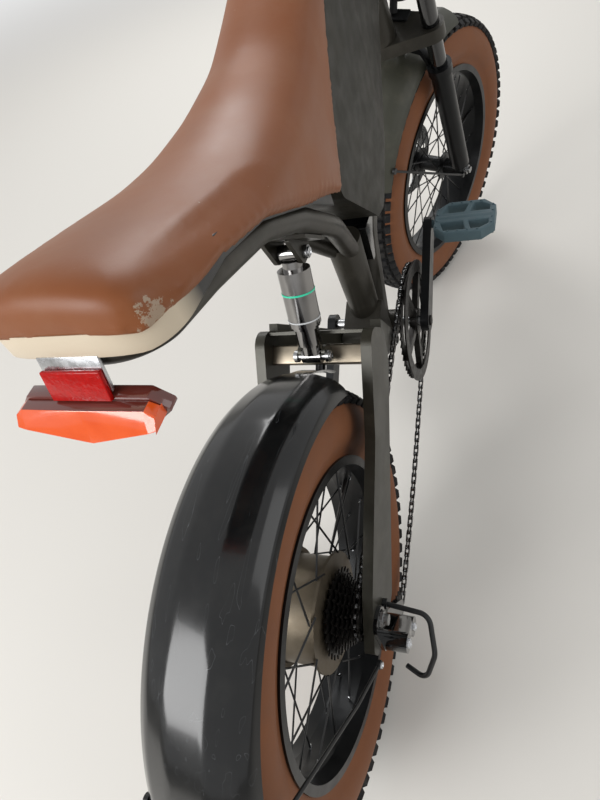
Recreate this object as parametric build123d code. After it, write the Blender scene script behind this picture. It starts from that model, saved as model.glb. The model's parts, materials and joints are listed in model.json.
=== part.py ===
from build123d import *
import math
import os

# Electric fat bike on 20 inch wheels with 4 inch tyres, parked on its side stand.
# Sizes are in millimetres. Every piece is made on the upright bike: X forward,
# Y to the rider's left, Z up from the road, with the rear axle above the origin.
# The front end is then turned about the steering axis, and the whole bike is leaned
# to the left until both tyres and the stand's foot touch the road.

# Wheels
wheelbase = 1084.0
tyre_radius = 302.0
tyre_width = 100.0
rim_radius = 209.0
rim_width = 80.0
rim_wall = 3.0
rim_bed_depth = 6.0
rim_depth = 16.0
spoke_count = 36
spoke_radius = 1.4
spoke_lean = 34.0
spoke_rim_y = 12.0
fit = 0.3

# Front hub and its disc
front_hub_spacing = 135.0
hub_shell_radius = 17.0
hub_flange_radius = 30.0
hub_flange_half_gap = 30.0
flange_wall = 4.0
axle_radius = 7.0
disc_radius = 80.0
disc_wall = 2.0
front_disc_y = 49.0

# Rear hub motor, cogs and disc
motor_radius = 71.0
motor_right = -24.0
motor_left = 38.0
motor_flange_radius = 79.0
rear_disc_y = 57.0
chain_pitch = 12.7
cog_teeth = [28, 24, 22, 20, 18, 16, 14]
cog_first_y = -31.0
cog_step = 5.0
cog_wall = 2.2

# Steering
head_angle = 70.0
axis_behind_axle = 45.0
leg_ahead_of_axis = 40.0
leg_half_gap = 76.0
leg_radius = 20.0
stanchion_radius = 15.0
leg_foot = -22.0
seal_height = 295.0
lower_crown_height = 380.0
upper_crown_height = 562.0
crown_wall = 26.0
rest_turn = -20.5
head_tube_radius = 25.0
steerer_radius = 14.0

# Handlebar
bar_radius = 11.1
bar_width = 680.0
bar_rise = 130.0
bar_back = 70.0
grip_length = 125.0
grip_radius = 16.0
riser_height = 46.0

# Frame
bb_x = 507.0
bb_z = 342.0
bb_radius = 22.0
bb_half_length = 34.0
head_low = lower_crown_height + crown_wall / 2 + fit
head_high = upper_crown_height - crown_wall / 2 - fit
down_route = [(488, 0, 340), (541, 0, 507), (866, 0, 766)]
down_bend = 60.0
down_width = 46.0
down_depth = 44.0
seat_tube_foot = (470.0, 0.0, 352.0)
seat_tube_top = (459.0, 0.0, 560.0)
rail_radius = 14.0
rail_route = [(-30, 50, 848), (60, 50, 826), (170, 44, 788), (255, 40, 738), (360, 33, 652), (450, 10, 548)]
rail_bends = [34, 60, 120, 120, 160]

# Swing arm and shock
pivot_x = 425.0
pivot_z = 382.0
pivot_radius = 16.0
pivot_half_length = 30.0
pin_radius = 6.0
arm_inner = 67.0
arm_wall = 14.0
arm_corners = [(-34, 258), (8, 262), (52, 244), (296, 478), (303, 528), (266, 567), (172, 457), (10, 336),
               (-40, 280)]
arm_radii = [10, 20, 20, 30, 20, 22, 80, 40, 10]
bridge_x = 268.0
bridge_z = 516.0
shock_low = (247.0, 536.0)
shock_high = (291.0, 669.0)
eye_bolt = 5.0

# Battery, seat and tail
tank_half_width = 45.0
tank_corners = [(700, 908), (612, 922), (560, 893), (430, 826), (374, 740), (395, 668), (512, 557), (550, 549)]
tank_radii = [60, 30, 40, 40, 40, 24, 16, 20]
tank_nose_gap = 48.0
seat_rows = [
    # along, underside, top, half width, crown
    (-48, 872, 896, 58, 8),
    (-38, 864, 908, 74, 14),
    (0, 862, 902, 82, 20),
    (60, 857, 885, 82, 14),
    (142, 830, 868, 80, 22),
    (200, 798, 862, 77, 26),
    (273, 757, 863, 71, 28),
    (352, 704, 874, 65, 30),
    (372, 722, 880, 63, 30),
    (439, 806, 907, 58, 28),
    (483, 858, 926, 56, 26),
    (560, 912, 958, 52, 22),
    (610, 940, 972, 44, 16),
]
seat_hollow_rows = [
    (180, 700, 800, 62, 4),
    (273, 650, 790, 57, 4),
    (352, 600, 800, 52, 4),
    (430, 600, 850, 48, 4),
    (500, 600, 885, 46.5, 4),
]
rear_fender_start = 52.0
rear_fender_end = 172.0
front_fender_start = 22.0
front_fender_end = 158.0
front_fender_half_width = 51.0
stay_radius = 2.5
rear_stay_angles = [136.0]
front_stay_angles = [150.0]

# Drive
chainring_teeth = 48
crank_length = 170.0
crank_angle = 34.0
guide_pulley = (18.0, 226.0)
tension_pulley = (84.0, 118.0)
pulley_teeth = 11
chain_sag = 16.0
chain_y = -61.0
chain_half_width = 3.5
chain_half_height = 4.0
spindle_radius = 9.0
crank_y = 84.0
crank_wall = 14.0
pedal_length = 100.0
pedal_width = 88.0
pedal_wall = 24.0

# Fenders
fender_wall = 2.5
fender_half_width = 62.0
fender_gap = 18.0

# Side stand
stand_hinge = (78.0, 104.0, 258.0)
stand_foot_x = 116.0
stand_foot_y = 205.0
stand_leg_radius = 8.0
foot_radius = 13.0
stand_stowed = (-0.98, 0.04, 0.18)
lean = 5.5

axle_height = tyre_radius
tube_major = tyre_radius - tyre_width / 2
tube_minor = tyre_width / 2


# Helpers

def side_plate(outline, y_from, y_to):
    """A flat piece: an outline drawn in X and Z, as thick as from one Y to the other."""
    face = Plane.XZ.offset(-y_from) * outline
    return extrude(face, amount=y_to - y_from, dir=(0, 1, 0))


def outline_of(points):
    return make_face(Polyline(*points, close=True))


def rounded(points, radii):
    """A closed outline with a radius at each corner."""
    return make_face(FilletPolyline(*points, radius=radii, close=True))


def rod(start, end, radius, shape=None):
    start = Vector(*start)
    along = Vector(*end) - start
    section = shape or Circle(radius)
    return extrude(Plane(origin=start, z_dir=along) * section, amount=along.length)


def turned(profile):
    """A ring or drum about the Y axis, from a profile of (y, radius)."""
    return revolve(Plane.YZ * profile, Axis.Y)


def drum(radius, y_from, y_to, bore=0.0):
    points = [(y_from, bore), (y_to, bore), (y_to, radius), (y_from, radius)]
    return turned(outline_of(points))


def across(x, z, radius, y_from, y_to):
    """A round bar that lies across the bike."""
    return rod((x, y_from, z), (x, y_to, z), radius)


def both_sides(piece):
    return piece + mirror(piece, about=Plane.XZ)


# The steering axis, and the places that follow from it

steer_up = Vector(-math.cos(math.radians(head_angle)), 0, math.sin(math.radians(head_angle)))
steer_front = Vector(math.sin(math.radians(head_angle)), 0, math.cos(math.radians(head_angle)))
front_centre = Vector(wheelbase, 0, axle_height)
steer_foot = front_centre - steer_front * axis_behind_axle
steer_axis = Axis(steer_foot, steer_up)


def fork_point(height, ahead=0.0, side=0.0):
    """A point by its height along the steering axis, its distance ahead of it and its side."""
    return steer_foot + steer_up * height + steer_front * ahead + Vector(0, side, 0)


def steer(piece):
    return piece.rotate(steer_axis, rest_turn)


def at_rear(piece):
    return Pos(0, 0, axle_height) * piece


# Wheels, made about the Y axis at the origin

def tyre():
    bed = rim_radius - rim_bed_depth + fit
    bead = rim_width / 2 - rim_wall - fit
    half = tyre_width / 2
    right = [
        Line((0, bed), (bead, bed)),
        Line((bead, bed), (bead, rim_radius + 2)),
        ThreePointArc((bead, rim_radius + 2), (half - 2, tube_major - 20), (half - 2, tube_major + 14)),
        ThreePointArc((half - 2, tube_major + 14), (half - 16, tyre_radius - 12), (0, tyre_radius)),
    ]
    left = [mirror(edge, about=Plane.YZ) for edge in right]
    return turned(make_face(Curve() + right + left))


def rim():
    half = rim_width / 2
    bed = rim_radius - rim_bed_depth
    low = rim_radius - rim_depth
    points = [
        (-half, rim_radius), (-half + rim_wall, rim_radius), (-half + rim_wall, bed),
        (half - rim_wall, bed), (half - rim_wall, rim_radius), (half, rim_radius),
        (half, bed - 6), (half / 2, low), (-half / 2, low), (-half, bed - 6),
    ]
    return turned(outline_of(points))


def spokes(inner_radius, right_y, left_y):
    """Hexagonal wires that lean forward and back in turn, beside the two faces of each hub flange."""
    wires = []
    rim_inside = rim_radius - rim_depth - 2 * fit
    beside = flange_wall / 2 + spoke_radius + fit
    for number in range(spoke_count):
        side = 1 if number % 2 == 0 else -1
        way = 1 if number % 4 < 2 else -1
        angle = 360.0 / spoke_count * number
        hub_angle = math.radians(angle + way * spoke_lean)
        rim_angle = math.radians(angle)
        start_y = (left_y if side > 0 else right_y) + way * beside
        start = (inner_radius * math.cos(hub_angle), start_y, inner_radius * math.sin(hub_angle))
        end = (rim_inside * math.cos(rim_angle), side * spoke_rim_y, rim_inside * math.sin(rim_angle))
        wires.append(rod(start, end, spoke_radius, RegularPolygon(spoke_radius, 6)))
    return Compound(wires)


def disc(y):
    """A brake disc with round windows between its rim and its middle."""
    ring = drum(disc_radius, y - disc_wall / 2, y + disc_wall / 2, 21.5)
    window_count = 6
    for number in range(window_count):
        angle = 360.0 / window_count * number
        window = side_plate(Pos(46, 0) * SlotOverall(34, 24), y - disc_wall, y + disc_wall)
        ring -= window.rotate(Axis.Y, angle)
    return ring


def front_hub():
    half = hub_flange_half_gap
    wall = flange_wall / 2
    bore = axle_radius + fit
    end = front_hub_spacing / 2 - 4
    points = [
        (-end, bore), (end, bore), (end, 12), (front_disc_y + disc_wall / 2, 14),
        (front_disc_y + disc_wall / 2, 21.2), (front_disc_y - 8, 21.2), (half + wall + 3, hub_shell_radius),
        (half + wall, hub_flange_radius - 6), (half + wall, hub_flange_radius),
        (half - wall, hub_flange_radius), (half - wall, hub_flange_radius - 6),
        (half - wall - 3, hub_shell_radius), (-half + wall + 3, hub_shell_radius),
        (-half + wall, hub_flange_radius - 6), (-half + wall, hub_flange_radius),
        (-half - wall, hub_flange_radius), (-half - wall, hub_flange_radius - 6),
        (-half - wall - 3, hub_shell_radius), (-end, 12),
    ]
    return turned(outline_of(points))


def hub_motor():
    """A drum with a spoke flange at each end and a boss for the disc on the left."""
    bore = axle_radius + fit
    right, left = motor_right, motor_left
    points = [
        (right - 2, bore), (rear_disc_y + disc_wall / 2, bore), (rear_disc_y + disc_wall / 2, 21.2),
        (left + 8, 21.2), (left + 5, 34), (left, motor_radius - 14), (left, motor_flange_radius),
        (left - flange_wall, motor_flange_radius), (left - flange_wall, motor_flange_radius - 6),
        (left - flange_wall - 2, motor_radius), (right + flange_wall + 2, motor_radius),
        (right + flange_wall, motor_flange_radius - 6), (right + flange_wall, motor_flange_radius),
        (right, motor_flange_radius), (right, motor_radius - 14), (right - 2, 36),
    ]
    return turned(outline_of(points))


def cog_radius(teeth):
    return chain_pitch / 2 / math.sin(math.pi / teeth)


def cassette():
    """Seven cogs on one carrier, the largest beside the motor."""
    last_y = cog_first_y - cog_step * (len(cog_teeth) - 1)
    stack = drum(19, last_y - 3, motor_right - 2 - fit, axle_radius + fit)
    for number, teeth in enumerate(cog_teeth):
        y = cog_first_y - cog_step * number
        chained = number == len(cog_teeth) - 1
        tip = cog_radius(teeth) + (-chain_half_height - 1 if chained else 3.5)
        stack += drum(tip, y - cog_wall / 2, y + cog_wall / 2, 18)
    return stack


# Fenders, made about the Y axis at the origin

def fender(start_angle, end_angle, half=fender_half_width):
    """A creased arch: a thin section swung from one angle to the other, 0 being straight ahead."""
    top = tyre_radius + fender_gap + fender_wall
    outer = [(-half, top - 26), (-half + 4, top - 17), (-half + 17, top - 7), (-20, top),
             (20, top), (half - 17, top - 7), (half - 4, top - 17), (half, top - 26)]
    inner = [(y * (half - fender_wall) / half, r - fender_wall) for y, r in reversed(outer)]
    section = Plane.YZ * outline_of(outer + inner)
    swing = revolve(section, Axis.Y, revolution_arc=end_angle - start_angle)
    return swing.rotate(Axis.Y, 90 - end_angle)


def fender_edge(angle, centre, half=fender_half_width):
    """The place beside a fender's left edge where its stay is bolted."""
    radius = tyre_radius + fender_gap + fender_wall - 22
    turn = math.radians(angle)
    return Vector(centre[0] + radius * math.cos(turn), half + 2.8, centre[2] + radius * math.sin(turn))


# Frame

def main_frame():
    """Head tube, kinked down tube, seat tube, crank shell and the lug that carries the arm's pivot."""
    frame = rod(fork_point(head_low), fork_point(head_high), head_tube_radius)
    down = FilletPolyline(*down_route, radius=down_bend)
    start = Plane(origin=down @ 0, x_dir=(0, 1, 0), z_dir=down % 0)
    frame += sweep(start * RectangleRounded(down_width, down_depth, 14), path=down)
    foot, top = Vector(*seat_tube_foot), Vector(*seat_tube_top)
    frame += loft([
        Plane(origin=foot, x_dir=(0, 1, 0), z_dir=top - foot) * Ellipse(22, 25),
        Plane(origin=top, x_dir=(0, 1, 0), z_dir=top - foot) * Ellipse(26, 30),
    ])
    frame += across(bb_x, bb_z, bb_radius, -bb_half_length, bb_half_length)
    corners = [(pivot_x - 18, pivot_z + 20), (472, 430), (486, 350), (pivot_x - 14, pivot_z - 20)]
    lug = rounded(corners, [14, 4, 4, 14])
    frame += side_plate(lug, -pivot_half_length, pivot_half_length)
    frame -= rod(fork_point(head_low - 5), fork_point(head_high + 5), steerer_radius + fit)
    frame -= across(bb_x, bb_z, spindle_radius + fit, -bb_half_length - 1, bb_half_length + 1)
    frame -= across(pivot_x, pivot_z, pin_radius + fit, -pivot_half_length - 1, pivot_half_length + 1)
    return frame


def seat_rails():
    """One bent tube: a hoop at the tail whose two ends run down to the head of the seat tube."""
    right = [(x, -y, z) for x, y, z in reversed(rail_route)]
    path = FilletPolyline(*(right + rail_route), radius=rail_bends[::-1] + rail_bends)
    return sweep(Plane(origin=path @ 0, z_dir=path % 0) * Circle(rail_radius), path=path)


def swing_arm():
    """Two deep flat bars up from the axle, two legs down to the pivot and the bars across."""
    middle = arm_inner + arm_wall / 2
    bar = side_plate(rounded(arm_corners, arm_radii), arm_inner, arm_inner + arm_wall)
    slope = Vector(pivot_x - 286, pivot_half_length + 8 - middle, pivot_z - 520)
    bar += loft([
        Plane(origin=(286, middle, 520), x_dir=(0, 1, 0), z_dir=slope) * Rectangle(arm_wall, 58),
        Plane(origin=(pivot_x, pivot_half_length + 8, pivot_z), x_dir=(0, 1, 0), z_dir=slope)
        * Rectangle(arm_wall, 34),
    ])
    boss_end = pivot_half_length + 17
    bar += across(pivot_x, pivot_z, pivot_radius + 3, pivot_half_length + 0.5, boss_end)
    arm = both_sides(bar)
    bridge = Pos(bridge_x, bridge_z) * Rot(0, 0, 38) * RectangleRounded(26, 16, 3)
    arm += side_plate(bridge, -arm_inner - 1, arm_inner + 1)
    brace = Pos(287, 540) * Rot(0, 0, -43) * Rectangle(34, 4)
    arm += side_plate(brace, -arm_inner - 1, arm_inner + 1)
    eye_x, eye_z = shock_low
    ear = rounded([(eye_x - 11, eye_z + 11), (eye_x + 12, eye_z + 11), (bridge_x + 9, bridge_z - 3),
                   (bridge_x - 9, bridge_z - 3)], [9, 9, 2, 2])
    for y in (-19, 14):
        arm += side_plate(ear, y, y + 5)
    arm -= across(0, axle_height, axle_radius + fit, -arm_inner - arm_wall - 1, arm_inner + arm_wall + 1)
    arm -= across(pivot_x, pivot_z, pin_radius + fit, -boss_end - 1, boss_end + 1)
    arm -= across(eye_x, eye_z, eye_bolt + fit, -30, 30)
    return arm


def shock_plane(along):
    """A plane across the shock, by the distance along it from the lower eye."""
    low, high = Vector(shock_low[0], 0, shock_low[1]), Vector(shock_high[0], 0, shock_high[1])
    axis = (high - low).normalized()
    return Plane(origin=low + axis * along, x_dir=(0, 1, 0), z_dir=axis)


def shock_body():
    """Air can, its rings and the upper eye."""
    span = math.dist(shock_low, shock_high)
    can = extrude(shock_plane(48) * Circle(20.5), amount=span - 48 - 20)
    can += extrude(shock_plane(44) * Circle(18.5), amount=5)
    can += extrude(shock_plane(span - 21) * Circle(12.5), amount=12)
    eye_x, eye_z = shock_high
    can += across(eye_x, eye_z, 10, -12, 12)
    return can - across(eye_x, eye_z, eye_bolt + fit, -13, 13)


def shock_shaft():
    eye_x, eye_z = shock_low
    shaft = extrude(shock_plane(6) * Circle(12.5), amount=37.7)
    shaft += extrude(shock_plane(20) * Circle(15.5), amount=23.7)
    shaft += across(eye_x, eye_z, 9, -13, 13)
    return shaft - across(eye_x, eye_z, eye_bolt + fit, -14, 14)


def frame_bolts():
    """The swing arm's pivot and the two bolts through the shock's eyes, each with a head at both ends."""
    rows = [(pivot_x, pivot_z, pin_radius, 11, pivot_half_length + 17), (*shock_low, eye_bolt, 8, 19),
            (*shock_high, eye_bolt, 8, 19)]
    bolts = []
    for x, z, radius, head, reach in rows:
        bolt = across(x, z, radius, -reach - 3, reach + 3)
        for side in (-1, 1):
            bolt += across(x, z, head, side * (reach + fit), side * (reach + 5))
        bolts.append(bolt)
    return Compound(bolts)


def shock_clevis():
    """Two plates that hang from the seat rails and hold the shock's upper eye."""
    eye_x, eye_z = shock_high
    corners = [(eye_x - 11, eye_z - 11), (eye_x + 11, eye_z - 11), (eye_x + 21, eye_z - 1), (eye_x - 30, eye_z + 41)]
    plate = rounded(corners, [10, 10, 2, 2])
    clevis = side_plate(plate, -19, -13.3) + side_plate(plate, 13.3, 19)
    clevis += side_plate(Pos(eye_x - 7.5, eye_z + 24.5) * Rot(0, 0, -39.3) * Rectangle(60, 4), -42, 42)
    return clevis - across(eye_x, eye_z, eye_bolt + fit, -40, 40)


def battery_tank():
    """The black battery case that fills the frame from the head tube to under the seat."""
    head_gap = head_tube_radius + 2
    under_crown = upper_crown_height - crown_wall / 2 - 8
    nose = [fork_point(530, -head_gap), fork_point(under_crown, -head_gap),
            fork_point(under_crown, -tank_nose_gap), fork_point(under_crown + 56, -tank_nose_gap)]
    corners = tank_corners + [(point.X, point.Z) for point in nose]
    case = side_plate(rounded(corners, tank_radii + [4, 6, 6, 20]), -tank_half_width, tank_half_width)
    nose = fork_point(475)
    taper = outline_of([(300, tank_half_width), (620, tank_half_width), (nose.X + 40, 24), (nose.X + 40, -24),
                        (620, -tank_half_width), (300, -tank_half_width)])
    case &= extrude(Plane.XY.offset(400) * taper, amount=700)
    return case


def controller():
    corners = [(494, 490), (506, 490), (521, 524), (541, 543), (534, 550), (494, 550)]
    return side_plate(rounded(corners, [3, 5, 6, 3, 3, 4]), -26, 26)


def seat_section(x, low, high, half, crown):
    """A section across the seat: flat sides, a rounded shoulder and a crowned top."""
    shoulder = high - crown
    edges = [
        Line((-half + 6, low), (half - 6, low)),
        Line((half - 6, low), (half, low + 14)),
        Line((half, low + 14), (half - 2, shoulder)),
        ThreePointArc((half - 2, shoulder), (0, high), (-half + 2, shoulder)),
        Line((-half + 2, shoulder), (-half, low + 14)),
        Line((-half, low + 14), (-half + 6, low)),
    ]
    return Plane(origin=(x, 0, 0), x_dir=(0, 1, 0), z_dir=(1, 0, 0)) * make_face(Curve() + edges)


def seat():
    """The long saddle, hollow below where its skirts hang over the rails and the battery."""
    sections = [seat_section(*row) for row in seat_rows]
    body = loft(sections, ruled=True)
    hollow = loft([seat_section(*row) for row in seat_hollow_rows], ruled=True)
    return body - hollow


def rear_fender():
    """The long rear arch and the strap that bolts it to the swing arm's bridge."""
    inner = tyre_radius + fender_gap
    band = Plane.YZ * outline_of([(-15, inner), (15, inner), (15, inner + fender_wall), (-15, inner + fender_wall)])
    strap = revolve(band, Axis.Y, revolution_arc=rear_fender_start - 35).rotate(Axis.Y, 88 - rear_fender_start)
    arch = at_rear(fender(rear_fender_start, rear_fender_end) + strap)
    top = tyre_radius + fender_gap + fender_wall - 1
    turn = math.atan2(bridge_z - axle_height, bridge_x)
    start = Vector(math.cos(turn) * top, 0, axle_height + math.sin(turn) * top)
    tab = rod(start, (bridge_x - 13.4 * math.cos(turn), 0, bridge_z - 13.4 * math.sin(turn)), 7)
    return arch + tab


def stay(anchor, edge, bend):
    """A wire from an anchor by the axle out to a fender's edge, with an eye at each end."""
    path = FilletPolyline(anchor, bend, edge, radius=30)
    wire = sweep(Plane(origin=path @ 0, z_dir=path % 0) * Circle(stay_radius), path=path)
    for x, y, z in (tuple(anchor), tuple(edge)):
        wire += across(x, z, 6, y - 2.5, y + 2.5)
    return wire


def rear_stays():
    anchor = Vector(-46, arm_inner + arm_wall + 3, 262)
    wires = []
    for angle in rear_stay_angles:
        edge = fender_edge(angle, (0, 0, axle_height))
        middle = anchor + (edge - anchor) * 0.3 + Vector(0, 4, 0)
        wires.append(stay(anchor, edge, middle))
    left = wires[0]
    for wire in wires[1:]:
        left += wire
    return Compound([left, mirror(left, about=Plane.XZ)])


def tail_bracket():
    """A bent plate from the rail's tail down behind the lamp, with a foot for the lamp."""
    top, bend = Vector(-47.3, 0, 854), Vector(-57, 0, 819.3)
    corners = [(-44.3, 854), (top.X, top.Z), (bend.X, bend.Z), (-70, 819.3), (-70, 816.3), (-54, 816.3)]
    return side_plate(outline_of(corners), -26, 26)


def reflector():
    """A flat red block against the bracket's sloping back."""
    along = Vector(-9.7, 0, -34.7).normalized()
    out = Vector(along.Z, 0, -along.X)
    top = Vector(-47.3, 0, 854)
    corners = [top + along * t + out * o for t, o in ((5, fit), (33, fit), (33, 7), (5, 7))]
    return side_plate(outline_of([(corner.X, corner.Z) for corner in corners]), -30, 30)


def lamp_section(y, front, back, low, high):
    """A section across the tail lamp at one side distance."""
    plane = Plane(origin=((front + back) / 2, y, (low + high) / 2), x_dir=(1, 0, 0), z_dir=(0, -1, 0))
    return plane * RectangleRounded(front - back, high - low, 1.9)


def lamp_case():
    """The dark lamp housing, pointed at each end."""
    half = [(0, -46, -72, 788, 816), (60, -50, -72, 793, 814), (78, -64, -70, 804, 810)]
    rows = [(-y, *rest) for y, *rest in reversed(half[1:])] + half
    return loft([lamp_section(*row) for row in rows], ruled=True)


def lamp_lens():
    """The red lens on the back of the housing, deepest at its middle."""
    half = [(0, -72.3, -95, 787, 815), (36, -72.3, -91, 790, 814), (60, -72.3, -80, 796, 812)]
    rows = [(-y, *rest) for y, *rest in reversed(half[1:])] + half
    return loft([lamp_section(*row) for row in rows], ruled=True)


def rear_axle():
    """The fixed axle with its nuts."""
    end = arm_inner + arm_wall
    axle = across(0, axle_height, axle_radius, -end - 16, end + 16)
    nut = Plane(origin=(0, end + 0.3, axle_height), x_dir=(1, 0, 0), z_dir=(0, 1, 0)) * RegularPolygon(11, 6)
    return axle + both_sides(extrude(nut, amount=9))


def caliper(x, z, angle, y):
    """A disc brake caliper: a block with a slot for the disc."""
    lay = Pos(x, z) * Rot(0, 0, angle)
    block = side_plate(lay * Pos(0, 8) * RectangleRounded(50, 34, 6), y - 14, y + 9)
    slot = side_plate(lay * Pos(0, -5) * Rectangle(60, 44), y - 2.5, y + 2.5)
    return block - slot

# Chain and derailleur

def tangent(first, second):
    """Where the chain leaves one wheel and meets the next. A wheel is its centre, radius and way round."""
    (x1, z1), r1 = first[0], first[1] * first[2]
    (x2, z2), r2 = second[0], second[1] * second[2]
    span = math.hypot(x2 - x1, z2 - z1)
    heading = math.atan2(z2 - z1, x2 - x1) - math.asin((r2 - r1) / span)
    side_x, side_z = -math.sin(heading), math.cos(heading)
    return (x1 - side_x * r1, z1 - side_z * r1), (x2 - side_x * r2, z2 - side_z * r2)


def chain_outline(grow):
    """The chain's loop over its wheels, its radii grown outward."""
    ring, cog = cog_radius(chainring_teeth), cog_radius(cog_teeth[-1])
    pulley = cog_radius(pulley_teeth)
    sag_radius = 1500.0
    middle_x, middle_z = (tension_pulley[0] + bb_x) / 2, (tension_pulley[1] - pulley + bb_z - ring) / 2
    slope = math.atan2(bb_z - ring - tension_pulley[1] + pulley, bb_x - tension_pulley[0])
    lift = sag_radius - chain_sag
    sag_centre = (middle_x - math.sin(slope) * lift, middle_z + math.cos(slope) * lift)
    wheels = [((bb_x, bb_z), ring + grow, 1), ((0, axle_height), cog + grow, 1),
              (guide_pulley, pulley - grow, -1), (tension_pulley, pulley + grow, 1),
              (sag_centre, sag_radius + grow, 1)]
    runs = [tangent(wheel, wheels[(number + 1) % len(wheels)]) for number, wheel in enumerate(wheels)]
    edges = []
    for number, (centre, radius, way) in enumerate(wheels):
        arrive, leave = runs[number - 1][1], runs[number][0]
        start = math.atan2(arrive[1] - centre[1], arrive[0] - centre[0])
        turn = (math.atan2(leave[1] - centre[1], leave[0] - centre[0]) - start) * way % (2 * math.pi) * way
        middle = start + turn / 2
        edges.append(ThreePointArc(arrive, (centre[0] + radius * math.cos(middle),
                                            centre[1] + radius * math.sin(middle)), leave))
        edges.append(Line(*runs[number]))
    return make_face(Curve() + edges)


def chain():
    band = chain_outline(chain_half_height) - chain_outline(-chain_half_height)
    return side_plate(band, chain_y - chain_half_width, chain_y + chain_half_width)


def link_plate(first, second, radius, y_from, y_to):
    """A plate with a round end about each of two places."""
    shape = make_hull((Pos(*first) * Circle(radius)).edges() + (Pos(*second) * Circle(radius)).edges())
    return side_plate(shape, y_from, y_to)


def derailleur():
    """Hanger, knuckles and the cage that carries the two pulleys."""
    outside = -arm_inner - arm_wall - fit
    hanger = side_plate(rounded([(-21, 318), (-25, 242), (2, 240), (21, 312)], [14, 11, 11, 14]), outside - 5, outside)
    hanger -= across(0, axle_height, 12, outside - 8, outside + 2)
    body = across(-10, 252, 13, outside - 34, outside - 5)
    body += loft([
        Plane(origin=(-10, outside - 21, 252), z_dir=(36, 6, -40)) * RectangleRounded(28, 26, 6),
        Plane(origin=(26, outside - 15, 212), z_dir=(36, 6, -40)) * RectangleRounded(26, 24, 6),
    ])
    body += across(28, 206, 14, outside - 28, chain_y - chain_half_width - 0.5)
    outer = link_plate(guide_pulley, tension_pulley, 13, chain_y - 5.7, chain_y - 4)
    inner = link_plate(guide_pulley, tension_pulley, 13, chain_y + 4, chain_y + 5.7)
    cage = outer + inner
    for x, z in (guide_pulley, tension_pulley):
        cage += across(x, z, 3.5, chain_y - 5.7, chain_y + 5.7)
    neck = link_plate((28, 206), guide_pulley, 9, chain_y - 5.7, chain_y - 4)
    return hanger + body + cage + neck


def pulleys():
    wheels = []
    for x, z in (guide_pulley, tension_pulley):
        radius = cog_radius(pulley_teeth) - chain_half_height - 0.4
        wheel = across(x, z, radius, chain_y - 2.5, chain_y + 2.5)
        wheels.append(wheel - across(x, z, 3.8, chain_y - 3, chain_y + 3))
    return Compound(wheels)


def derailleur_guard():
    """A bent rod that stands out round the derailleur."""
    outside = -arm_inner - arm_wall - fit
    points = [(26, outside - 4, 286), (20, outside - 62, 284), (-22, outside - 72, 262), (-44, outside - 58, 226),
              (-30, outside - 30, 222)]
    path = FilletPolyline(*points, radius=[18, 18, 16])
    return sweep(Plane(origin=path @ 0, z_dir=path % 0) * Circle(3.5), path=path) + across(
        26, 286, 7, outside - 6, outside)


# Front end, made straight ahead

def crown(height):
    """A clamp plate that holds both stanchions and the steerer."""
    plane = Plane(origin=fork_point(height - crown_wall / 2), x_dir=(0, 1, 0), z_dir=steer_up)
    clamps = (Pos(leg_half_gap, -leg_ahead_of_axis) * Circle(stanchion_radius + 8)).edges()
    clamps += (Pos(-leg_half_gap, -leg_ahead_of_axis) * Circle(stanchion_radius + 8)).edges()
    plate = make_hull(clamps + Circle(steerer_radius + 11).edges())
    for side in (-1, 1):
        plate -= Pos(side * leg_half_gap, -leg_ahead_of_axis) * Circle(stanchion_radius + fit)
    plate -= Circle(steerer_radius + fit)
    return extrude(plane * plate, amount=crown_wall)


def steerer():
    low = lower_crown_height - crown_wall / 2
    high = upper_crown_height + crown_wall / 2
    return rod(fork_point(low), fork_point(high + 6), steerer_radius) + rod(
        fork_point(high + 0.3), fork_point(high + 8), steerer_radius + 5)


def stanchions():
    tubes = [rod(fork_point(seal_height + 9.3, leg_ahead_of_axis, side * leg_half_gap),
                 fork_point(upper_crown_height + crown_wall / 2 + 5, leg_ahead_of_axis, side * leg_half_gap),
                 stanchion_radius) for side in (-1, 1)]
    return Compound(tubes)


def fork_lowers():
    """The sliding legs, their flat axle ends and the arch over the wheel."""
    foot = fork_point(26, leg_ahead_of_axis, leg_half_gap)
    leg = rod(foot, fork_point(seal_height, leg_ahead_of_axis, leg_half_gap), leg_radius)
    leg += rod(fork_point(seal_height - 8, leg_ahead_of_axis, leg_half_gap),
               fork_point(seal_height + 9, leg_ahead_of_axis, leg_half_gap), leg_radius + 3)
    side_view = Plane(origin=fork_point(0), x_dir=steer_front, z_dir=steer_front.cross(steer_up))
    tab = rounded([(leg_ahead_of_axis - 18, 46), (leg_ahead_of_axis + 18, 46), (axis_behind_axle + 15, -16),
                   (axis_behind_axle - 15, -16)], [4, 4, 14, 14])
    inner = front_hub_spacing / 2 + fit
    leg += extrude(side_view * tab, amount=14, both=False, dir=(0, 1, 0)).move(Location((0, inner, 0)))
    lowers = both_sides(leg)
    arch = [(-leg_half_gap, 262), (-leg_half_gap + 16, 290), (-44, 326), (-22, 331), (22, 331), (44, 326),
            (leg_half_gap - 16, 290), (leg_half_gap, 262), (leg_half_gap, 285), (60, 303), (54, 325), (45, 340), (24, 347),
            (-24, 347), (-45, 340), (-54, 325), (-60, 303), (-leg_half_gap, 285)]
    face = Plane(origin=fork_point(0, leg_ahead_of_axis - 6), x_dir=(0, 1, 0), z_dir=steer_up.cross(
        Vector(0, 1, 0)) * -1) * outline_of(arch)
    lowers += extrude(face, amount=12, dir=tuple(steer_front))
    top = tyre_radius + fender_gap + fender_wall
    lowers += rod(fork_point(top + fit, leg_ahead_of_axis), fork_point(335, leg_ahead_of_axis), 7)
    return lowers - across(wheelbase, axle_height, axle_radius + fit, -leg_half_gap - 30, leg_half_gap + 30)


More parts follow.
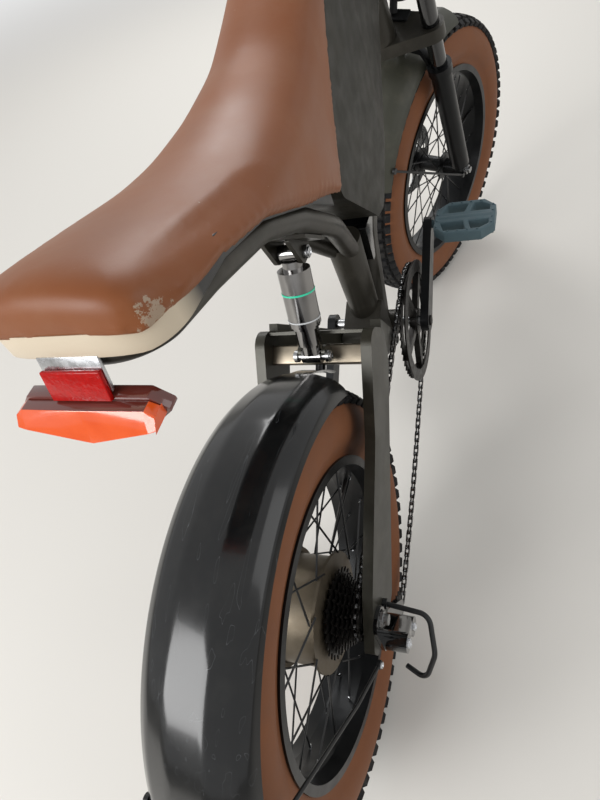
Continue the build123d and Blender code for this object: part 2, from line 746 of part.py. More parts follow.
def front_axle():
    end = front_hub_spacing / 2 + fit + 14
    axle = across(wheelbase, axle_height, axle_radius, -end - 14, end + 14)
    nut = Plane(origin=(wheelbase, end + 0.3, axle_height), x_dir=(1, 0, 0), z_dir=(0, 1, 0))
    return axle + both_sides(extrude(nut * RegularPolygon(11, 6), amount=8))


def front_fender():
    return Pos(wheelbase, 0, axle_height) * fender(front_fender_start, front_fender_end, front_fender_half_width)


def front_stays():
    end = front_hub_spacing / 2 + fit + 14
    anchor = fork_point(-6, axis_behind_axle - 4, end + 2.8) + Vector(-14, 0, 2)
    wires = []
    for angle in front_stay_angles:
        edge = fender_edge(angle, tuple(front_centre), front_fender_half_width)
        middle = anchor + (edge - anchor) * 0.3 + Vector(0, 4, 0)
        wires.append(stay(anchor, edge, middle))
    return Compound([wires[0], mirror(wires[0], about=Plane.XZ)])


def bar_points():
    base = upper_crown_height + crown_wall / 2 + riser_height
    half = bar_width / 2
    right = [(base, 30, 80), (base + bar_rise, 8, 160), (base + bar_rise - 6, 30 - bar_back, half)]
    left = [(h, a, -s) for h, a, s in reversed(right)]
    return [fork_point(*point) for point in left + right]


def handlebar():
    path = FilletPolyline(*bar_points(), radius=[45, 40, 40, 45])
    return sweep(Plane(origin=path @ 0, z_dir=path % 0) * Circle(bar_radius), path=path)


def bar_clamps():
    """Two risers on the upper crown that grip the bar."""
    base = upper_crown_height + crown_wall / 2
    posts = []
    for side in (-34, 34):
        post = rod(fork_point(base + 2.4, 22, side), fork_point(base + riser_height, 30, side), 11)
        head = rod(fork_point(base + riser_height, 30, side - 13), fork_point(base + riser_height, 30, side + 13), 18)
        hole = rod(fork_point(base + riser_height, 30, side - 20), fork_point(base + riser_height, 30, side + 20),
                   bar_radius + fit)
        posts.append(post + head - hole)
    return Compound(posts)


def along_grip(distance, radius, length, bore):
    """A sleeve on the left end of the bar, by its distance from the bar's end."""
    end, bend = bar_points()[-1], bar_points()[-2]
    way = (bend - end).normalized()
    start = end + way * distance
    return rod(start, start + way * length, radius) - rod(start - way, start + way * (length + 1), bore)


def grips():
    sleeve = along_grip(-1, grip_radius, grip_length, bar_radius + 0.2)
    end, bend = bar_points()[-1], bar_points()[-2]
    way = (bend - end).normalized()
    cap = rod(end - way * 5, end - way * 0.4, grip_radius + 1.5)
    sleeve += cap
    return Compound([sleeve, mirror(sleeve, about=Plane.XZ)])


def brake_levers():
    """A clamp on the bar, its master cylinder and the curved blade in front of the grip."""
    end, bend = bar_points()[-1], bar_points()[-2]
    way = (bend - end).normalized()
    clamp = along_grip(grip_length + 6, 15, 16, bar_radius + fit)
    middle = end + way * (grip_length + 14)
    reach = steer_front * 34 + steer_up * -14
    block = rod(middle + reach * 0.4, middle + reach * 1.15, 9)
    points = [middle + reach, middle + reach * 1.5 - way * 22, middle + reach * 1.55 - way * 105]
    path = FilletPolyline(*points, radius=22)
    blade = sweep(Plane(origin=path @ 0, z_dir=path % 0) * Circle(5), path=path)
    lever = clamp + block + blade
    return Compound([lever, mirror(lever, about=Plane.XZ)])


def display():
    base = upper_crown_height + crown_wall / 2 + riser_height
    plane = Plane(origin=fork_point(base + 22, 20), x_dir=(0, 1, 0), z_dir=steer_up * 0.8 - steer_front * 0.6)
    case = extrude(plane * RectangleRounded(74, 52, 8), amount=14)
    foot = rod(fork_point(base, 30, -7), fork_point(base, 30, 7), 15)
    foot -= rod(fork_point(base, 30, -8), fork_point(base, 30, 8), bar_radius + fit)
    neck = rod(fork_point(base + 13, 28), fork_point(base + 24, 22), 6)
    return case + foot + neck


def headlight():
    """A round lamp ahead of the lower crown on a short bracket."""
    centre = fork_point(lower_crown_height + 62, 104)
    forward = Vector(1, 0, 0)
    shell = loft([Plane(origin=centre - forward * 44, z_dir=forward) * Circle(24),
                  Plane(origin=centre - forward * 22, z_dir=forward) * Circle(46),
                  Plane(origin=centre + forward * 6, z_dir=forward) * Circle(48)])
    shell -= extrude(Plane(origin=centre - forward * 2, z_dir=forward) * Circle(44), amount=20)
    foot = fork_point(lower_crown_height + crown_wall / 2 + fit, leg_ahead_of_axis + 10)
    plate = Plane(origin=foot, x_dir=(0, 1, 0), z_dir=steer_up)
    bracket = extrude(plate * RectangleRounded(60, 24, 3), amount=4)
    strut = rod(foot + steer_up * 6, centre - forward * 26 - Vector(0, 0, 16), 7)
    return shell + bracket + strut


def headlight_lens():
    centre = fork_point(lower_crown_height + 62, 104)
    return extrude(Plane(origin=centre - Vector(1.7, 0, 0), z_dir=(1, 0, 0)) * Circle(43.7), amount=10)


# Crank and pedals

def crank_place(degrees, y):
    turn = math.radians(degrees)
    return Vector(bb_x + crank_length * math.cos(turn), y, bb_z + crank_length * math.sin(turn))


def crank_spindle():
    end = crank_y - crank_wall / 2 - fit
    return across(bb_x, bb_z, spindle_radius, -end, end)


def chainring():
    """The toothed ring, its five arms and the guard outside it."""
    tip = cog_radius(chainring_teeth) - chain_half_height - 0.6
    ring = across(bb_x, bb_z, tip, chain_y - 1.5, chain_y + 1.5)
    ring -= across(bb_x, bb_z, tip - 14, chain_y - 2, chain_y + 2)
    guard = across(bb_x, bb_z, 104, chain_y - 11, chain_y - 8.5) - across(bb_x, bb_z, 84, chain_y - 12, chain_y - 7)
    spider = across(bb_x, bb_z, 22, chain_y - 11, chain_y + 1.5)
    for number in range(5):
        blade = Pos(bb_x + 52, bb_z) * Rectangle(76, 14)
        arm = side_plate(blade, chain_y - 8.5, chain_y + 1.5)
        spider += arm.rotate(Axis((bb_x, 0, bb_z), (0, 1, 0)), -crank_angle + 72 * number)
    spider += ring + guard
    return spider - across(bb_x, bb_z, spindle_radius + fit, -120, 0)


def crank_arm(side):
    """One arm, wide at the spindle and narrow at the pedal's eye."""
    angle = crank_angle if side < 0 else crank_angle + 180
    eye = crank_place(angle, 0)
    hull = make_hull((Pos(bb_x, bb_z) * Circle(18)).edges() + (Pos(eye.X, eye.Z) * Circle(13)).edges())
    arm = side_plate(hull, side * crank_y - crank_wall / 2, side * crank_y + crank_wall / 2)
    return arm - across(eye.X, eye.Z, 7 + fit, side * crank_y - 10, side * crank_y + 10)


def pedal(side):
    """A flat platform with openings on a spindle that screws into the arm."""
    angle = crank_angle if side < 0 else crank_angle + 180
    eye = crank_place(angle, 0)
    near = crank_y + crank_wall / 2 + 5
    deck = Pos(0, near + pedal_length / 2) * RectangleRounded(pedal_width, pedal_length, 16)
    for across_x in (-1, 1):
        deck -= Pos(across_x * 25, near + pedal_length / 2) * RectangleRounded(20, pedal_length - 28, 6)
    body = extrude(Plane.XY.offset(-pedal_wall / 2) * deck, amount=pedal_wall)
    body = Pos(eye.X, 0, eye.Z) * body
    body -= across(eye.X, eye.Z, 7, near - 1, near + pedal_length - 12)
    spindle = across(eye.X, eye.Z, 7, crank_y - crank_wall / 2, near + pedal_length - 12)
    spindle += across(eye.X, eye.Z, 10, near - 4.7, near)
    whole = body + spindle
    return mirror(whole, about=Plane.XZ) if side < 0 else whole


# Placing: lean the bike on its stand

def to_road(piece, pitch):
    """Leans the bike to the left, then tips it by the small pitch that puts both tyres down."""
    return piece.rotate(Axis.X, -lean).rotate(Axis.Y, pitch)


def lowest(centre, spin, pitch):
    """How low a tyre reaches once leaned, from its centre and the direction of its axle."""
    centre = Vector(*centre).rotate(Axis.X, -lean).rotate(Axis.Y, pitch)
    spin = Vector(*spin).rotate(Axis.X, -lean).rotate(Axis.Y, pitch)
    return centre.Z - tube_major * math.sqrt(1 - spin.Z ** 2) - tube_minor


# Side stand on the left arm. It is made last, because its foot reaches down to the road.

def settle():
    """The pitch at which both leaned tyres are equally low, found by halving an interval."""
    turned_spin = Vector(0, 1, 0).rotate(Axis((0, 0, 0), steer_up), rest_turn)
    turned_centre = steer(Pos(*front_centre) * Sphere(1)).center()
    low, high = -2.0, 2.0
    for _ in range(40):
        pitch = (low + high) / 2
        rear = lowest((0, 0, axle_height), (0, 1, 0), pitch)
        front = lowest(turned_centre, turned_spin, pitch)
        if front < rear:
            high = pitch
        else:
            low = pitch
    return pitch, rear


rest_pitch, road_level = settle()


def to_road_point(point):
    return point.rotate(Axis.X, -lean).rotate(Axis.Y, rest_pitch)


def stand_foot():
    """The foot's centre on the upright bike: its own radius above the road once leaned."""
    base = to_road_point(Vector(stand_foot_x, stand_foot_y, 0)).Z
    rise = to_road_point(Vector(stand_foot_x, stand_foot_y, 1)).Z - base
    return Vector(stand_foot_x, stand_foot_y, (road_level + foot_radius - base) / rise)


def stand_axis():
    down = (stand_foot() - Vector(*stand_hinge)).normalized()
    return down.cross(Vector(*stand_stowed)).normalized()


def side_stand():
    hinge, foot, axis = Vector(*stand_hinge), stand_foot(), stand_axis()
    leg = rod(hinge, foot, stand_leg_radius)
    leg += rod(hinge - axis * 9, hinge + axis * 9, 14)
    leg += Pos(*foot) * Sphere(foot_radius)
    return leg - rod(hinge - axis * 10, hinge + axis * 10, 5 + fit)


def stand_bracket():
    """A plate on the arm's outer face, a boss out to the hinge and the pin."""
    hinge, axis = Vector(*stand_hinge), stand_axis()
    face = arm_inner + arm_wall + fit
    boss = rod(hinge - axis * 40, hinge - axis * 9.4, 13)
    boss += rod(hinge - axis * 11, hinge + axis * 10, 5) + rod(hinge + axis * 9.4, hinge + axis * 14, 9)
    plate = side_plate(Pos(74, 262) * Rot(0, 0, 44) * RectangleRounded(54, 32, 8), face, face + 5)
    cut = Pos(hinge.X, face - 50, hinge.Z) * Box(200, 100, 200)
    return boss - cut + plate


# Every piece by name. The front group is turned with the steering.

fixed = {
    "main_frame": main_frame(),
    "seat_rails": seat_rails(),
    "seat": seat(),
    "battery_tank": battery_tank(),
    "controller": controller(),
    "swing_arm": swing_arm(),
    "shock_body": shock_body(),
    "shock_shaft": shock_shaft(),
    "frame_bolts": frame_bolts(),
    "shock_clevis": shock_clevis(),
    "rear_fender": rear_fender(),
    "rear_fender_stays": rear_stays(),
    "tail_bracket": tail_bracket(),
    "rear_reflector": reflector(),
    "tail_lamp_case": lamp_case(),
    "tail_lamp_lens": lamp_lens(),
    "rear_axle": rear_axle(),
    "rear_caliper": caliper(-14, 366, 12.3, rear_disc_y),
    "chain": chain(),
    "derailleur": derailleur(),
    "derailleur_pulleys": pulleys(),
    "derailleur_guard": derailleur_guard(),
    "stand_bracket": stand_bracket(),
    "side_stand": side_stand(),
    "crank_spindle": crank_spindle(),
    "chainring": chainring(),
    "right_crank": crank_arm(-1),
    "left_crank": crank_arm(1),
    "right_pedal": pedal(-1),
    "left_pedal": pedal(1),
    "rear_tyre": at_rear(tyre()),
    "rear_rim": at_rear(rim()),
    "rear_spokes": at_rear(spokes(motor_flange_radius - 0.5, motor_right + flange_wall / 2,
                                motor_left - flange_wall / 2)),
    "hub_motor": at_rear(hub_motor()),
    "cassette": at_rear(cassette()),
    "rear_disc": at_rear(disc(rear_disc_y)),
}
caliper_centre = fork_point(46, 0)
steered = {
    "lower_crown": crown(lower_crown_height),
    "upper_crown": crown(upper_crown_height),
    "steerer": steerer(),
    "fork_stanchions": stanchions(),
    "fork_lowers": fork_lowers(),
    "front_axle": front_axle(),
    "front_fender": front_fender(),
    "front_fender_stays": front_stays(),
    "front_caliper": caliper(caliper_centre.X, caliper_centre.Z, 64.4, front_disc_y),
    "handlebar": handlebar(),
    "bar_clamps": bar_clamps(),
    "grips": grips(),
    "brake_levers": brake_levers(),
    "display": display(),
    "headlight": headlight(),
    "headlight_lens": headlight_lens(),
    "front_tyre": Pos(*front_centre) * tyre(),
    "front_rim": Pos(*front_centre) * rim(),
    "front_spokes": Pos(*front_centre) * spokes(hub_flange_radius - 0.5, -hub_flange_half_gap,
                                                        hub_flange_half_gap),
    "front_hub": Pos(*front_centre) * front_hub(),
    "front_disc": Pos(*front_centre) * disc(front_disc_y),
}

placed = {name: to_road(piece, rest_pitch) for name, piece in fixed.items()}
placed.update({name: to_road(steer(piece), rest_pitch) for name, piece in steered.items()})
box = Compound(list(placed.values())).bounding_box()
origin_shift = Pos(-(box.min.X + box.max.X) / 2, -(box.min.Y + box.max.Y) / 2, -box.min.Z)

os.makedirs("parts", exist_ok=True)
for name, piece in placed.items():
    export_step(origin_shift * piece, f"parts/{name}.step")
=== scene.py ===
import json
import math
import bmesh
import bpy
from mathutils import Matrix, Vector


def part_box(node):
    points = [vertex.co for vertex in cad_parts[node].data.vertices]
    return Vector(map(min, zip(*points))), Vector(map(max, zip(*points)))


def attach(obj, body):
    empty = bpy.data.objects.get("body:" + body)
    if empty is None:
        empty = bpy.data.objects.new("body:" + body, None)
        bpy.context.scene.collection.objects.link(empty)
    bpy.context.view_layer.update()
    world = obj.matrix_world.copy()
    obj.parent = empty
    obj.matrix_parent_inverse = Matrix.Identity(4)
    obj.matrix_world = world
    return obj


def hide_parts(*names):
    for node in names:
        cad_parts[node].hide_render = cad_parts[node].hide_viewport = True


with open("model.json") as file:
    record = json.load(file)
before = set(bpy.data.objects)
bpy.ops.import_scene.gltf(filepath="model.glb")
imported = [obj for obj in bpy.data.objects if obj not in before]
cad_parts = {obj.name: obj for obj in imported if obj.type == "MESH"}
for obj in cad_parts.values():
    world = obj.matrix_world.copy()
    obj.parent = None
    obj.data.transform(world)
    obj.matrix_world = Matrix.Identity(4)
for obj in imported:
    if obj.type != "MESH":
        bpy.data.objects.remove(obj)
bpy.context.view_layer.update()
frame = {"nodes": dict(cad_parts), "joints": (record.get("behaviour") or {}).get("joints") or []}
nodes = frame["nodes"]
joints = {joint["name"]: joint for joint in frame["joints"]}
print("frame loaded:", len(nodes), "nodes")

# sizes of the upright bike in metres, measured from the road under the rear axle
bike = {
    "axleHeight": 0.302,
    "wheelbase": 1.084,
    "crankX": 0.507,
    "crankZ": 0.342,
    "restTurn": -20.5,  # degrees, bars turned to the right
}


def uprightToFrame():
    # the parked bike leans, so its own axes come from the wheel and crank joints
    axle = Vector(joints["rear_wheel_spin"]["pos_m"])
    side = Vector(joints["rear_wheel_spin"]["axis"]).normalized()
    along = (Vector(joints["crank_spin"]["pos_m"]) - axle).normalized()
    rise = math.atan2(bike["crankZ"] - bike["axleHeight"], bike["crankX"])
    ahead = Matrix.Rotation(rise, 3, side) @ along
    turned = Matrix((ahead, side, ahead.cross(side))).transposed().to_4x4()
    return Matrix.Translation(axle) @ turned @ Matrix.Translation((0, 0, -bike["axleHeight"]))


def steeredToFrame():
    foot = Matrix.Translation(Vector(joints["steering_turn"]["pos_m"]))
    turn = Matrix.Rotation(math.radians(bike["restTurn"]), 4, Vector(joints["steering_turn"]["axis"]))
    return foot @ turn @ foot.inverted() @ uprightToFrame()


upright = uprightToFrame()
steered = steeredToFrame()
rearWheel = upright @ Matrix.Translation((0, 0, bike["axleHeight"]))
frontWheel = steered @ Matrix.Translation((bike["wheelbase"], 0, bike["axleHeight"]))

# camera, floor and light

shot = {
    "place": (-0.258, -0.296, 1.075),
    "right": (0.2515, -0.9199, -0.3008),
    "down": (-0.7786, -0.0077, -0.6274),
    "ahead": (0.5749, 0.3920, -0.7182),
    "focalPixels": 608.0,
    "imageHeight": 800.0,
    "sensorHeight": 36.0,
    "clipStart": 0.02,
}


def addObject(name, data):
    item = bpy.data.objects.new(name, data)
    bpy.context.scene.collection.objects.link(item)
    return item


def setCamera():
    data = bpy.data.cameras.new("camera")
    camera = addObject("camera", data)
    data.sensor_fit = "VERTICAL"
    data.sensor_height = shot["sensorHeight"]
    data.lens = shot["focalPixels"] / shot["imageHeight"] * shot["sensorHeight"]
    data.clip_start = shot["clipStart"]
    axes = Matrix((Vector(shot["right"]), -Vector(shot["down"]), -Vector(shot["ahead"]))).transposed()
    camera.matrix_world = upright @ Matrix.Translation(shot["place"]) @ axes.to_4x4()
    bpy.context.scene.camera = camera


studio = {
    "floorColour": "#dcd9d3",
    "floorRoughness": 0.85,
    "floorSize": 40.0,
    "floorFade": (2.6, 5.5),  # metres from the bike over which the floor passes into the backdrop
    "worldStrength": 0.5,
    "backdropStrength": 0.8,  # what the camera, metal and glass see beyond the floor
    "lamps": [
        # name, place, aim, size, watts
        ("keyLamp", (-2.9, 1.5, 2.0), (-0.2, 0.0, 0.5), 1.8, 95),
        ("fillLamp", (0.2, -3.2, 2.6), (0.1, 0.0, 0.4), 2.6, 32),
        ("rimLamp", (2.9, 1.0, 2.6), (0.3, 0.0, 0.5), 1.6, 50),
    ],
}


def toLinear(hexText):
    parts = [int(hexText[i:i + 2], 16) / 255 for i in (1, 3, 5)]
    return tuple(c / 12.92 if c <= 0.04045 else ((c + 0.055) / 1.055) ** 2.4 for c in parts) + (1.0,)


def setNode(node, sockets, links):
    for name, value in sockets.items():
        node.inputs[name].default_value = value
    for name, source in links.items():
        node.id_data.links.new(source, node.inputs[name])


def addNode(tree, kind, sockets={}, links={}, **options):
    node = tree.nodes.new("ShaderNode" + kind)
    for name, value in options.items():
        setattr(node, name, value)
    setNode(node, sockets, links)
    return node


def newMaterial(name):
    material = bpy.data.materials.new(name)
    material.use_nodes = True
    return material, material.node_tree, material.node_tree.nodes["Principled BSDF"]


def setFloor():
    mesh = bpy.data.meshes.new("floor")
    floor = addObject("floor", mesh)
    bm = bmesh.new()
    bmesh.ops.create_grid(bm, x_segments=1, y_segments=1, size=studio["floorSize"] / 2)
    bm.to_mesh(mesh)
    bm.free()
    plaster, tree, shader = newMaterial("floorPlaster")
    setNode(shader, {"Base Color": toLinear(studio["floorColour"]), "Roughness": studio["floorRoughness"]},
            {})
    near, far = studio["floorFade"]
    coords = addNode(tree, "TexCoord").outputs["Object"]
    reach = addNode(tree, "VectorMath", {}, {0: coords}, operation="LENGTH")
    fade = addNode(tree, "MapRange", {"From Min": near, "From Max": far},
                   {"Value": reach.outputs["Value"]}, interpolation_type="SMOOTHSTEP")
    seen = addNode(tree, "LightPath").outputs["Is Camera Ray"]
    share = addNode(tree, "Math", {}, {0: fade.outputs["Result"], 1: seen}, operation="MULTIPLY")
    plain = addNode(tree, "Emission", {"Color": (1, 1, 1, 1), "Strength": studio["backdropStrength"]})
    both = addNode(tree, "MixShader", {}, {0: share.outputs[0], 1: shader.outputs[0], 2: plain.outputs[0]})
    setNode(tree.nodes["Material Output"], {}, {"Surface": both.outputs[0]})
    mesh.materials.append(plaster)


def setLamps():
    for name, place, aim, size, watts in studio["lamps"]:
        data = bpy.data.lights.new(name, "AREA")
        lamp = addObject(name, data)
        data.size = size
        data.energy = watts
        lamp.location = place
        lamp.rotation_euler = (Vector(aim) - Vector(place)).to_track_quat("-Z", "Y").to_euler()


def setWorld():
    world = bpy.data.worlds.new("studioWorld")
    world.use_nodes = True
    bpy.context.scene.world = world
    tree = world.node_tree
    rays = addNode(tree, "LightPath").outputs
    seen = rays["Is Camera Ray"]
    for other in ("Is Glossy Ray", "Is Transmission Ray"):
        seen = addNode(tree, "Math", {}, {0: seen, 1: rays[other]}, operation="MAXIMUM").outputs[0]
    strength = addNode(tree, "MapRange",
                       {"To Min": studio["worldStrength"], "To Max": studio["backdropStrength"]},
                       {"Value": seen})
    setNode(tree.nodes["Background"], {"Color": (1, 1, 1, 1)}, {"Strength": strength.outputs["Result"]})
    bpy.context.scene.view_settings.view_transform = "Standard"


setCamera()
setFloor()
setLamps()
setWorld()
print("camera, floor and lamps set")

finishes = {
    # two tones, mottle and grain in millimetres, depth of the grain, least and most roughness, metallic
    # powder coat: even, slightly pebbled and half gloss
    "powderCoatGraphite": ("#2a2823", "#35322b", 60, 1.2, 0.10, 0.34, 0.46, 0.3,
                           {"specular": 0.4, "dust": (0.10, "#8a8378")}),
    # the swing arm's powder coat has more metal flake in it
    "powderCoatSteelGrey": ("#282720", "#36342b", 50, 1.0, 0.08, 0.3, 0.42, 0.4, {"dust": (0.1, "#8f8a7c")}),
    # injection moulded ABS, polished: deep shine with hair scratches
    "polishedAbsBlack": ("#0b0c0d", "#121314", 90, 9.0, 0.02, 0.09, 0.24, 0.0,
                         {"specular": 0.36, "coat": 0.15, "scratch": "#5d6063", "dust": (0.03, "#77736b")}),
    # moulded nylon: fine sparked texture, dull
    "mouldedNylonBlack": ("#121314", "#1a1b1b", 30, 0.8, 0.25, 0.48, 0.62, 0.0, {"specular": 0.3}),
    # the battery case: the same nylon with a bronze cast and dusty streaks
    "mouldedNylonBronze": ("#1a1914", "#26241d", 26, 0.9, 0.3, 0.42, 0.58, 0.0,
                           {"specular": 0.25, "dust": (0.1, "#6f675c")}),
    # nylon of the front fender, greyed by road dust
    "mouldedNylonDusty": ("#32322a", "#3e3e35", 40, 0.9, 0.2, 0.42, 0.55, 0.0,
                          {"specular": 0.35, "dust": (0.2, "#6f695d")}),
    # glass filled nylon of the pedals: blue grey and chalky
    "mouldedNylonGrey": ("#40535b", "#54696f", 20, 0.8, 0.3, 0.5, 0.66, 0.0, {"specular": 0.35}),
    # anodised and cast aluminium: a satin black skin, and a dull grey one with a sandy grain
    "anodisedAluminiumBlack": ("#131415", "#1b1c1d", 25, 0.6, 0.05, 0.28, 0.4, 0.6, {"specular": 0.4}),
    "castAluminiumGrey": ("#5b5244", "#6b6152", 18, 1.0, 0.2, 0.38, 0.52, 0.75, {"dust": (0.15, "#8f8a80")}),
    # the bar between the swing arm's plates: gunmetal, drawn as pale brushed metal, a painted highlight for
    # how it looks when lit
    "crossBarPaintedHighlight": ("#857c6d", "#9a9080", 12, 0.6, 0.06, 0.3, 0.42, 0.9, {}),
    # lacquer over paint: near mirror, faintly wavy
    "glossLacquerBlack": ("#08090a", "#0e0f10", 40, 5.0, 0.02, 0.08, 0.18, 0.0, {"coat": 0.7}),
    # chrome plate over a turned can: dark mirror
    "smokedChrome": ("#7d7c7c", "#979593", 30, 0.5, 0.03, 0.1, 0.2, 1.0, {}),
    # steel as phosphated, ground, zinc plated and painted: from dark and oily to bright, then black
    "phosphatedSteel": ("#1b1a19", "#2b2826", 8, 0.7, 0.12, 0.3, 0.5, 0.8, {}),
    "bareSteel": ("#8b8c8c", "#a3a4a5", 14, 0.5, 0.05, 0.22, 0.38, 1.0, {}),
    "zincPlate": ("#b4b6b8", "#cccdd0", 6, 0.4, 0.05, 0.2, 0.34, 1.0, {}),
    "blackSteelPaint": ("#101112", "#18191a", 20, 0.9, 0.12, 0.32, 0.45, 0.1, {"specular": 0.4}),
    # moulded rubber: dull and powdery, tan on the sidewalls
    "mouldedRubberBlack": ("#101011", "#181819", 12, 0.8, 0.35, 0.62, 0.8, 0.0,
                           {"specular": 0.25, "dust": (0.2, "#6e6961")}),
    "mouldedRubberTan": ("#6a4028", "#805236", 34, 0.8, 0.25, 0.6, 0.75, 0.0,
                         {"specular": 0.25, "dust": (0.15, "#66462f")}),
    # reflector: clear skin over corner prisms about 2 mm across, drawn at 3 mm so that they show
    "prismaticAcrylicRed": ("#8c0503", "#b40a07", 5, 3.0, 1.0, 0.12, 0.2, 0.0, {"specular": 0.22}),
    # the lamp's shoulder: acrylic smoked to a dark brownish red
    "smokedAcrylic": ("#57261f", "#6c332c", 30, 4.0, 0.02, 0.08, 0.16, 0.0, {"coat": 0.5}),
    # the lamp's lens: orange red acrylic over a pale bowl, so it is brighter than the reflector
    "acrylicOrangeRed": ("#cc4410", "#e35c1e", 24, 4.0, 0.02, 0.1, 0.18, 0.0, {"coat": 0.4}),
    # printed rings on the shock's can: flat paint without grain
    "paintTeal": ("#2fc9a0", "#3ad8ae", 9, 2.0, 0.0, 0.3, 0.4, 0.0, {}),
    "paintPaleGrey": ("#b9bcbe", "#d0d2d3", 9, 2.0, 0.0, 0.3, 0.4, 0.0, {}),
}

wear = {
    "dustPatch": 45.0,  # millimetres across
    "dustEdge": (0.48, 0.72),
    "scratchStretch": (8.0, 90.0, 60.0),
    "scratchHalfWidth": 0.0035,
    "bumpDistance": 0.0004,
    "coatRoughness": 0.06,
}


def layOver(tree, base, share, shade):
    # a plain colour over another one, where the share is one
    return addNode(tree, "Mix", {7: toLinear(shade)}, {0: share, 6: base}, data_type="RGBA").outputs[2]


def addDust(tree, coords, base, amount, shade):
    # dust lies in soft patches a few centimetres across, broken up by a finer speckle
    patch = addNode(tree, "TexNoise",
                    {"Scale": 1000 / wear["dustPatch"], "Detail": 8.0, "Roughness": 0.7}, {"Vector": coords})
    thin, thick = wear["dustEdge"]
    cover = addNode(tree, "MapRange", {"From Min": thin, "From Max": thick, "To Max": amount},
                    {"Value": patch.outputs["Fac"]})
    return layOver(tree, base, cover.outputs["Result"], shade)


def addScratches(tree, coords, base, shade):
    # hair scratches: narrow bands of a noise that is drawn out along the bike
    drawn = addNode(tree, "Mapping", {"Rotation": (0.3, 0.5, 0.2), "Scale": wear["scratchStretch"]},
                    {"Vector": coords})
    lines = addNode(tree, "TexNoise", {"Scale": 1.0, "Detail": 1.0, "Distortion": 0.4},
                    {"Vector": drawn.outputs["Vector"]})
    near = addNode(tree, "Math", {1: 0.62}, {0: lines.outputs["Fac"]}, operation="SUBTRACT")
    width = addNode(tree, "Math", {}, {0: near.outputs[0]}, operation="ABSOLUTE")
    band = addNode(tree, "MapRange",
                   {"From Min": 0.0, "From Max": wear["scratchHalfWidth"], "To Min": 0.5, "To Max": 0.0},
                   {"Value": width.outputs[0]})
    return layOver(tree, base, band.outputs["Result"], shade)


def makeFinish(name, recipe):
    first, second, mottleSize, grainSize, depth, low, high, metallic, extra = recipe
    material, tree, shader = newMaterial(name)
    coords = addNode(tree, "TexCoord").outputs["Object"]
    mottle, grain = [addNode(tree, "TexNoise", {"Scale": 1000 / size, "Detail": detail},
                             {"Vector": coords}).outputs["Fac"]
                     for size, detail in ((mottleSize, 5.0), (grainSize, 2.0))]
    colour = addNode(tree, "Mix", {6: toLinear(first), 7: toLinear(second)}, {0: mottle},
                     data_type="RGBA").outputs[2]
    if "scratch" in extra:
        colour = addScratches(tree, coords, colour, extra["scratch"])
    if "dust" in extra:
        colour = addDust(tree, coords, colour, *extra["dust"])
    rough = addNode(tree, "MapRange",
                    {"From Min": 0.3, "From Max": 0.7, "To Min": low, "To Max": high}, {"Value": mottle})
    bump = addNode(tree, "Bump", {"Strength": depth, "Distance": wear["bumpDistance"]},
                   {"Height": grain})
    setNode(shader, {"Metallic": metallic, "Specular IOR Level": extra.get("specular", 0.5),
                     "Coat Weight": extra.get("coat", 0.0), "Coat Roughness": wear["coatRoughness"]},
            {"Base Color": colour, "Roughness": rough.outputs["Result"], "Normal": bump.outputs["Normal"]})
    return material


def paintOver(material, share, shade):
    shader = material.node_tree.nodes["Principled BSDF"]
    own = shader.inputs["Base Color"].links[0].from_socket
    setNode(shader, {}, {"Base Color": layOver(material.node_tree, own, share, shade)})


materials = {name: makeFinish(name, recipe) for name, recipe in finishes.items()}

nodeFinish = {
    "powderCoatGraphite": "main_frame seat_rails shock_clevis lower_crown upper_crown",
    "powderCoatSteelGrey": "swing_arm",
    "polishedAbsBlack": "rear_fender",
    "mouldedNylonBlack": "tail_lamp_case front_fender display headlight derailleur_pulleys",
    "mouldedNylonBronze": "battery_tank",
    "mouldedNylonGrey": "right_pedal left_pedal",
    "anodisedAluminiumBlack": "rear_rim front_rim right_crank left_crank front_hub handlebar bar_clamps "
                              "steerer fork_lowers",
    "glossLacquerBlack": "fork_stanchions controller derailleur",
    "castAluminiumGrey": "hub_motor rear_caliper front_caliper",
    "smokedChrome": "shock_body shock_shaft",
    "phosphatedSteel": "chain cassette chainring",
    "bareSteel": "rear_axle front_axle rear_disc front_disc crank_spindle frame_bolts tail_bracket",
    "blackSteelPaint": "rear_fender_stays front_fender_stays stand_bracket side_stand derailleur_guard "
                       "brake_levers rear_spokes front_spokes",
    "mouldedRubberBlack": "grips",
    "prismaticAcrylicRed": "rear_reflector",
    "acrylicOrangeRed": "tail_lamp_lens",
}


def dress(node, material):
    mesh = nodes[node].data
    mesh.materials.clear()
    mesh.materials.append(material)


for finishName, names in nodeFinish.items():
    for name in names.split():
        dress(name, materials[finishName])
print("carried-over nodes dressed")

# helpers for the pieces made here: sizes are in millimetres on the upright bike

millimetres = Matrix.Scale(0.001, 4)
acrossBike = Matrix.Rotation(math.radians(90), 4, "X")  # lays a drum's axis across the bike


def finishPiece(bm, name, body, place, finishNames, sharpAngle=35, replaced=None):
    bmesh.ops.remove_doubles(bm, verts=bm.verts[:], dist=0.001)
    bmesh.ops.transform(bm, matrix=place @ millimetres, verts=bm.verts[:])
    bmesh.ops.recalc_face_normals(bm, faces=bm.faces[:])
    for face in bm.faces:
        face.smooth = True
    for edge in bm.edges:
        edge.smooth = len(edge.link_faces) == 2 and edge.calc_face_angle(0.0) < math.radians(sharpAngle)
    mesh = bpy.data.meshes.new(name)
    bm.to_mesh(mesh)
    bm.free()
    piece = addObject(name, mesh)
    for finishName in finishNames:
        mesh.materials.append(materials[finishName])
    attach(piece, body)
    if replaced:
        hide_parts(replaced)


def outlineLoop(bm, points):
    # a closed outline in the plane across the bike: points are side and height
    verts = [bm.verts.new((0.0, side, height)) for side, height in points]
    edges = [bm.edges.new(pair) for pair in zip(verts, verts[1:] + verts[:1])]
    return verts, edges


